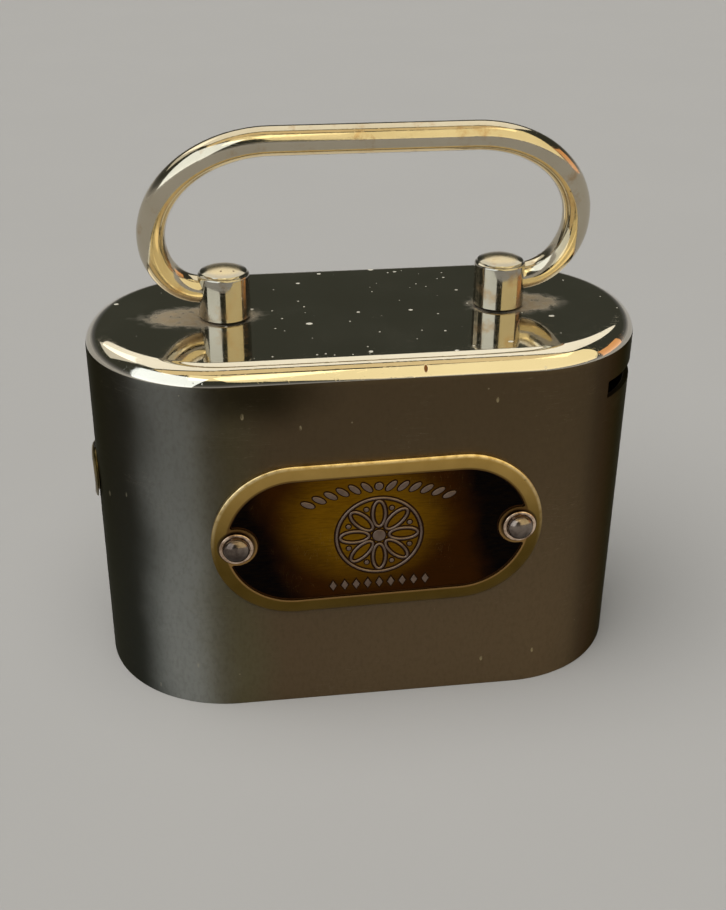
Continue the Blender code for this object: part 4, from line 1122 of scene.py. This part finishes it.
def make_floor():
    ring = [(FLOOR_REACH * math.cos(a), FLOOR_REACH * math.sin(a), 0.0) for a in angles(FLOOR_STEPS)]
    floor = mesh_object("studio_floor", ring, [tuple(range(FLOOR_STEPS))])
    floor.location.z = -FLOOR_SINK
    painted(floor, floor_material())


def make_world():
    """A dim room, pale only near the horizon."""
    world = bpy.data.worlds.new("studio")
    bpy.context.scene.world = world
    world.use_nodes = True
    nodes = world.node_tree.nodes
    links = world.node_tree.links
    place = nodes.new("ShaderNodeTexCoord").outputs["Generated"]
    split = nodes.new("ShaderNodeSeparateXYZ")
    links.new(place, split.inputs[0])
    ramp = nodes.new("ShaderNodeValToRGB")
    links.new(split.outputs[2], ramp.inputs[0])
    ramp.color_ramp.elements.new(0.5)
    for element, (sine, colour) in zip(ramp.color_ramp.elements, ROOM_LEVELS):
        element.position = sine
        element.color = (*colour, 1)
    links.new(ramp.outputs[0], nodes["Background"].inputs["Color"])


def softbox(name, azimuth, elevation, spread, radiance, colour):
    """A rectangular light seen only in the metal's reflections, aimed at the case.

    All angles are in degrees. Azimuth 0 is the camera's side, and spread is the light's width and height.
    """
    light = bpy.data.lights.new(name, "AREA")
    light.shape = "RECTANGLE"
    light.size, light.size_y = (2 * SOFTBOX_DISTANCE * math.tan(math.radians(s / 2)) for s in spread)
    light.color = colour
    light.energy = radiance * math.pi * light.size * light.size_y
    obj = link(bpy.data.objects.new(name, light))
    a, e = math.radians(azimuth), math.radians(elevation)
    direction = Vector((math.sin(a) * math.cos(e), -math.cos(a) * math.cos(e), math.sin(e)))
    obj.location = Vector((0, MID_Y, CASE_HEIGHT / 2)) + direction * SOFTBOX_DISTANCE
    obj.rotation_euler = direction.to_track_quat("Z", "Y").to_euler()
    obj.visible_camera = False
    obj.visible_diffuse = False


def make_fill():
    """One wide soft light from above that lights the floor and stays out of reflections."""
    light = bpy.data.lights.new("fill", "SUN")
    light.angle = FILL_SPREAD
    light.energy = FILL_STRENGTH
    light.color = (1.0, 0.98, 0.95)
    obj = link(bpy.data.objects.new("fill", light))
    obj.rotation_euler = (math.radians(14), math.radians(-16), 0)
    obj.visible_glossy = False


def make_lights():
    cream = (1.0, 0.84, 0.47)
    pale = (1.0, 0.94, 0.80)
    cool = (0.88, 0.95, 1.0)
    tan = (1.0, 0.77, 0.40)
    orange = (1.0, 0.46, 0.16)
    softbox("ceiling_back", 180, 61, (76, 56), 1.25, pale)
    softbox("ceiling_front", 0, 76, (76, 20), 0.95, tan)
    softbox("front_right", 41, 34, (71, 56), 1.27, cream)
    softbox("front_upper", -15, 49, (30, 26), 1.25, cream)
    softbox("left_window", -53, 26, (56, 48), 1.6, cool)
    softbox("back_left", -128, 37, (28, 26), 0.8, pale)
    softbox("right_lamp", 95, 12, (28, 21), 0.95, orange)
    make_fill()


def make_camera():
    """A view of the front from above and a little to the left."""
    data = bpy.data.cameras.new("camera")
    data.sensor_width = CAMERA_SENSOR
    data.lens = CAMERA_LENS
    data.clip_start = 0.01
    camera = link(bpy.data.objects.new("camera", data))
    yaw, pitch, roll = CAMERA_TURNS
    ahead = Vector((-math.sin(yaw) * math.cos(pitch), math.cos(yaw) * math.cos(pitch), math.sin(pitch)))
    right = Vector((math.cos(yaw), math.sin(yaw), 0))
    up = right.cross(ahead)
    turned_right = math.cos(roll) * right + math.sin(roll) * up
    turned_up = math.cos(roll) * up - math.sin(roll) * right
    turn = Matrix((turned_right, turned_up, -ahead)).transposed().to_4x4()
    camera.matrix_world = Matrix.Translation(CAMERA_PLACE) @ turn
    bpy.context.scene.camera = camera


make_floor()
make_world()
make_lights()
make_camera()
make_case()
make_post("left", -POST_X)
make_post("right", POST_X)
make_handle()
make_plate()
make_ornament()
make_rivet("left", -RIVET_X)
make_rivet("right", RIVET_X)
make_eyelet()
paint_cad_nodes()
bpy.context.scene.view_settings.view_transform = "Standard"
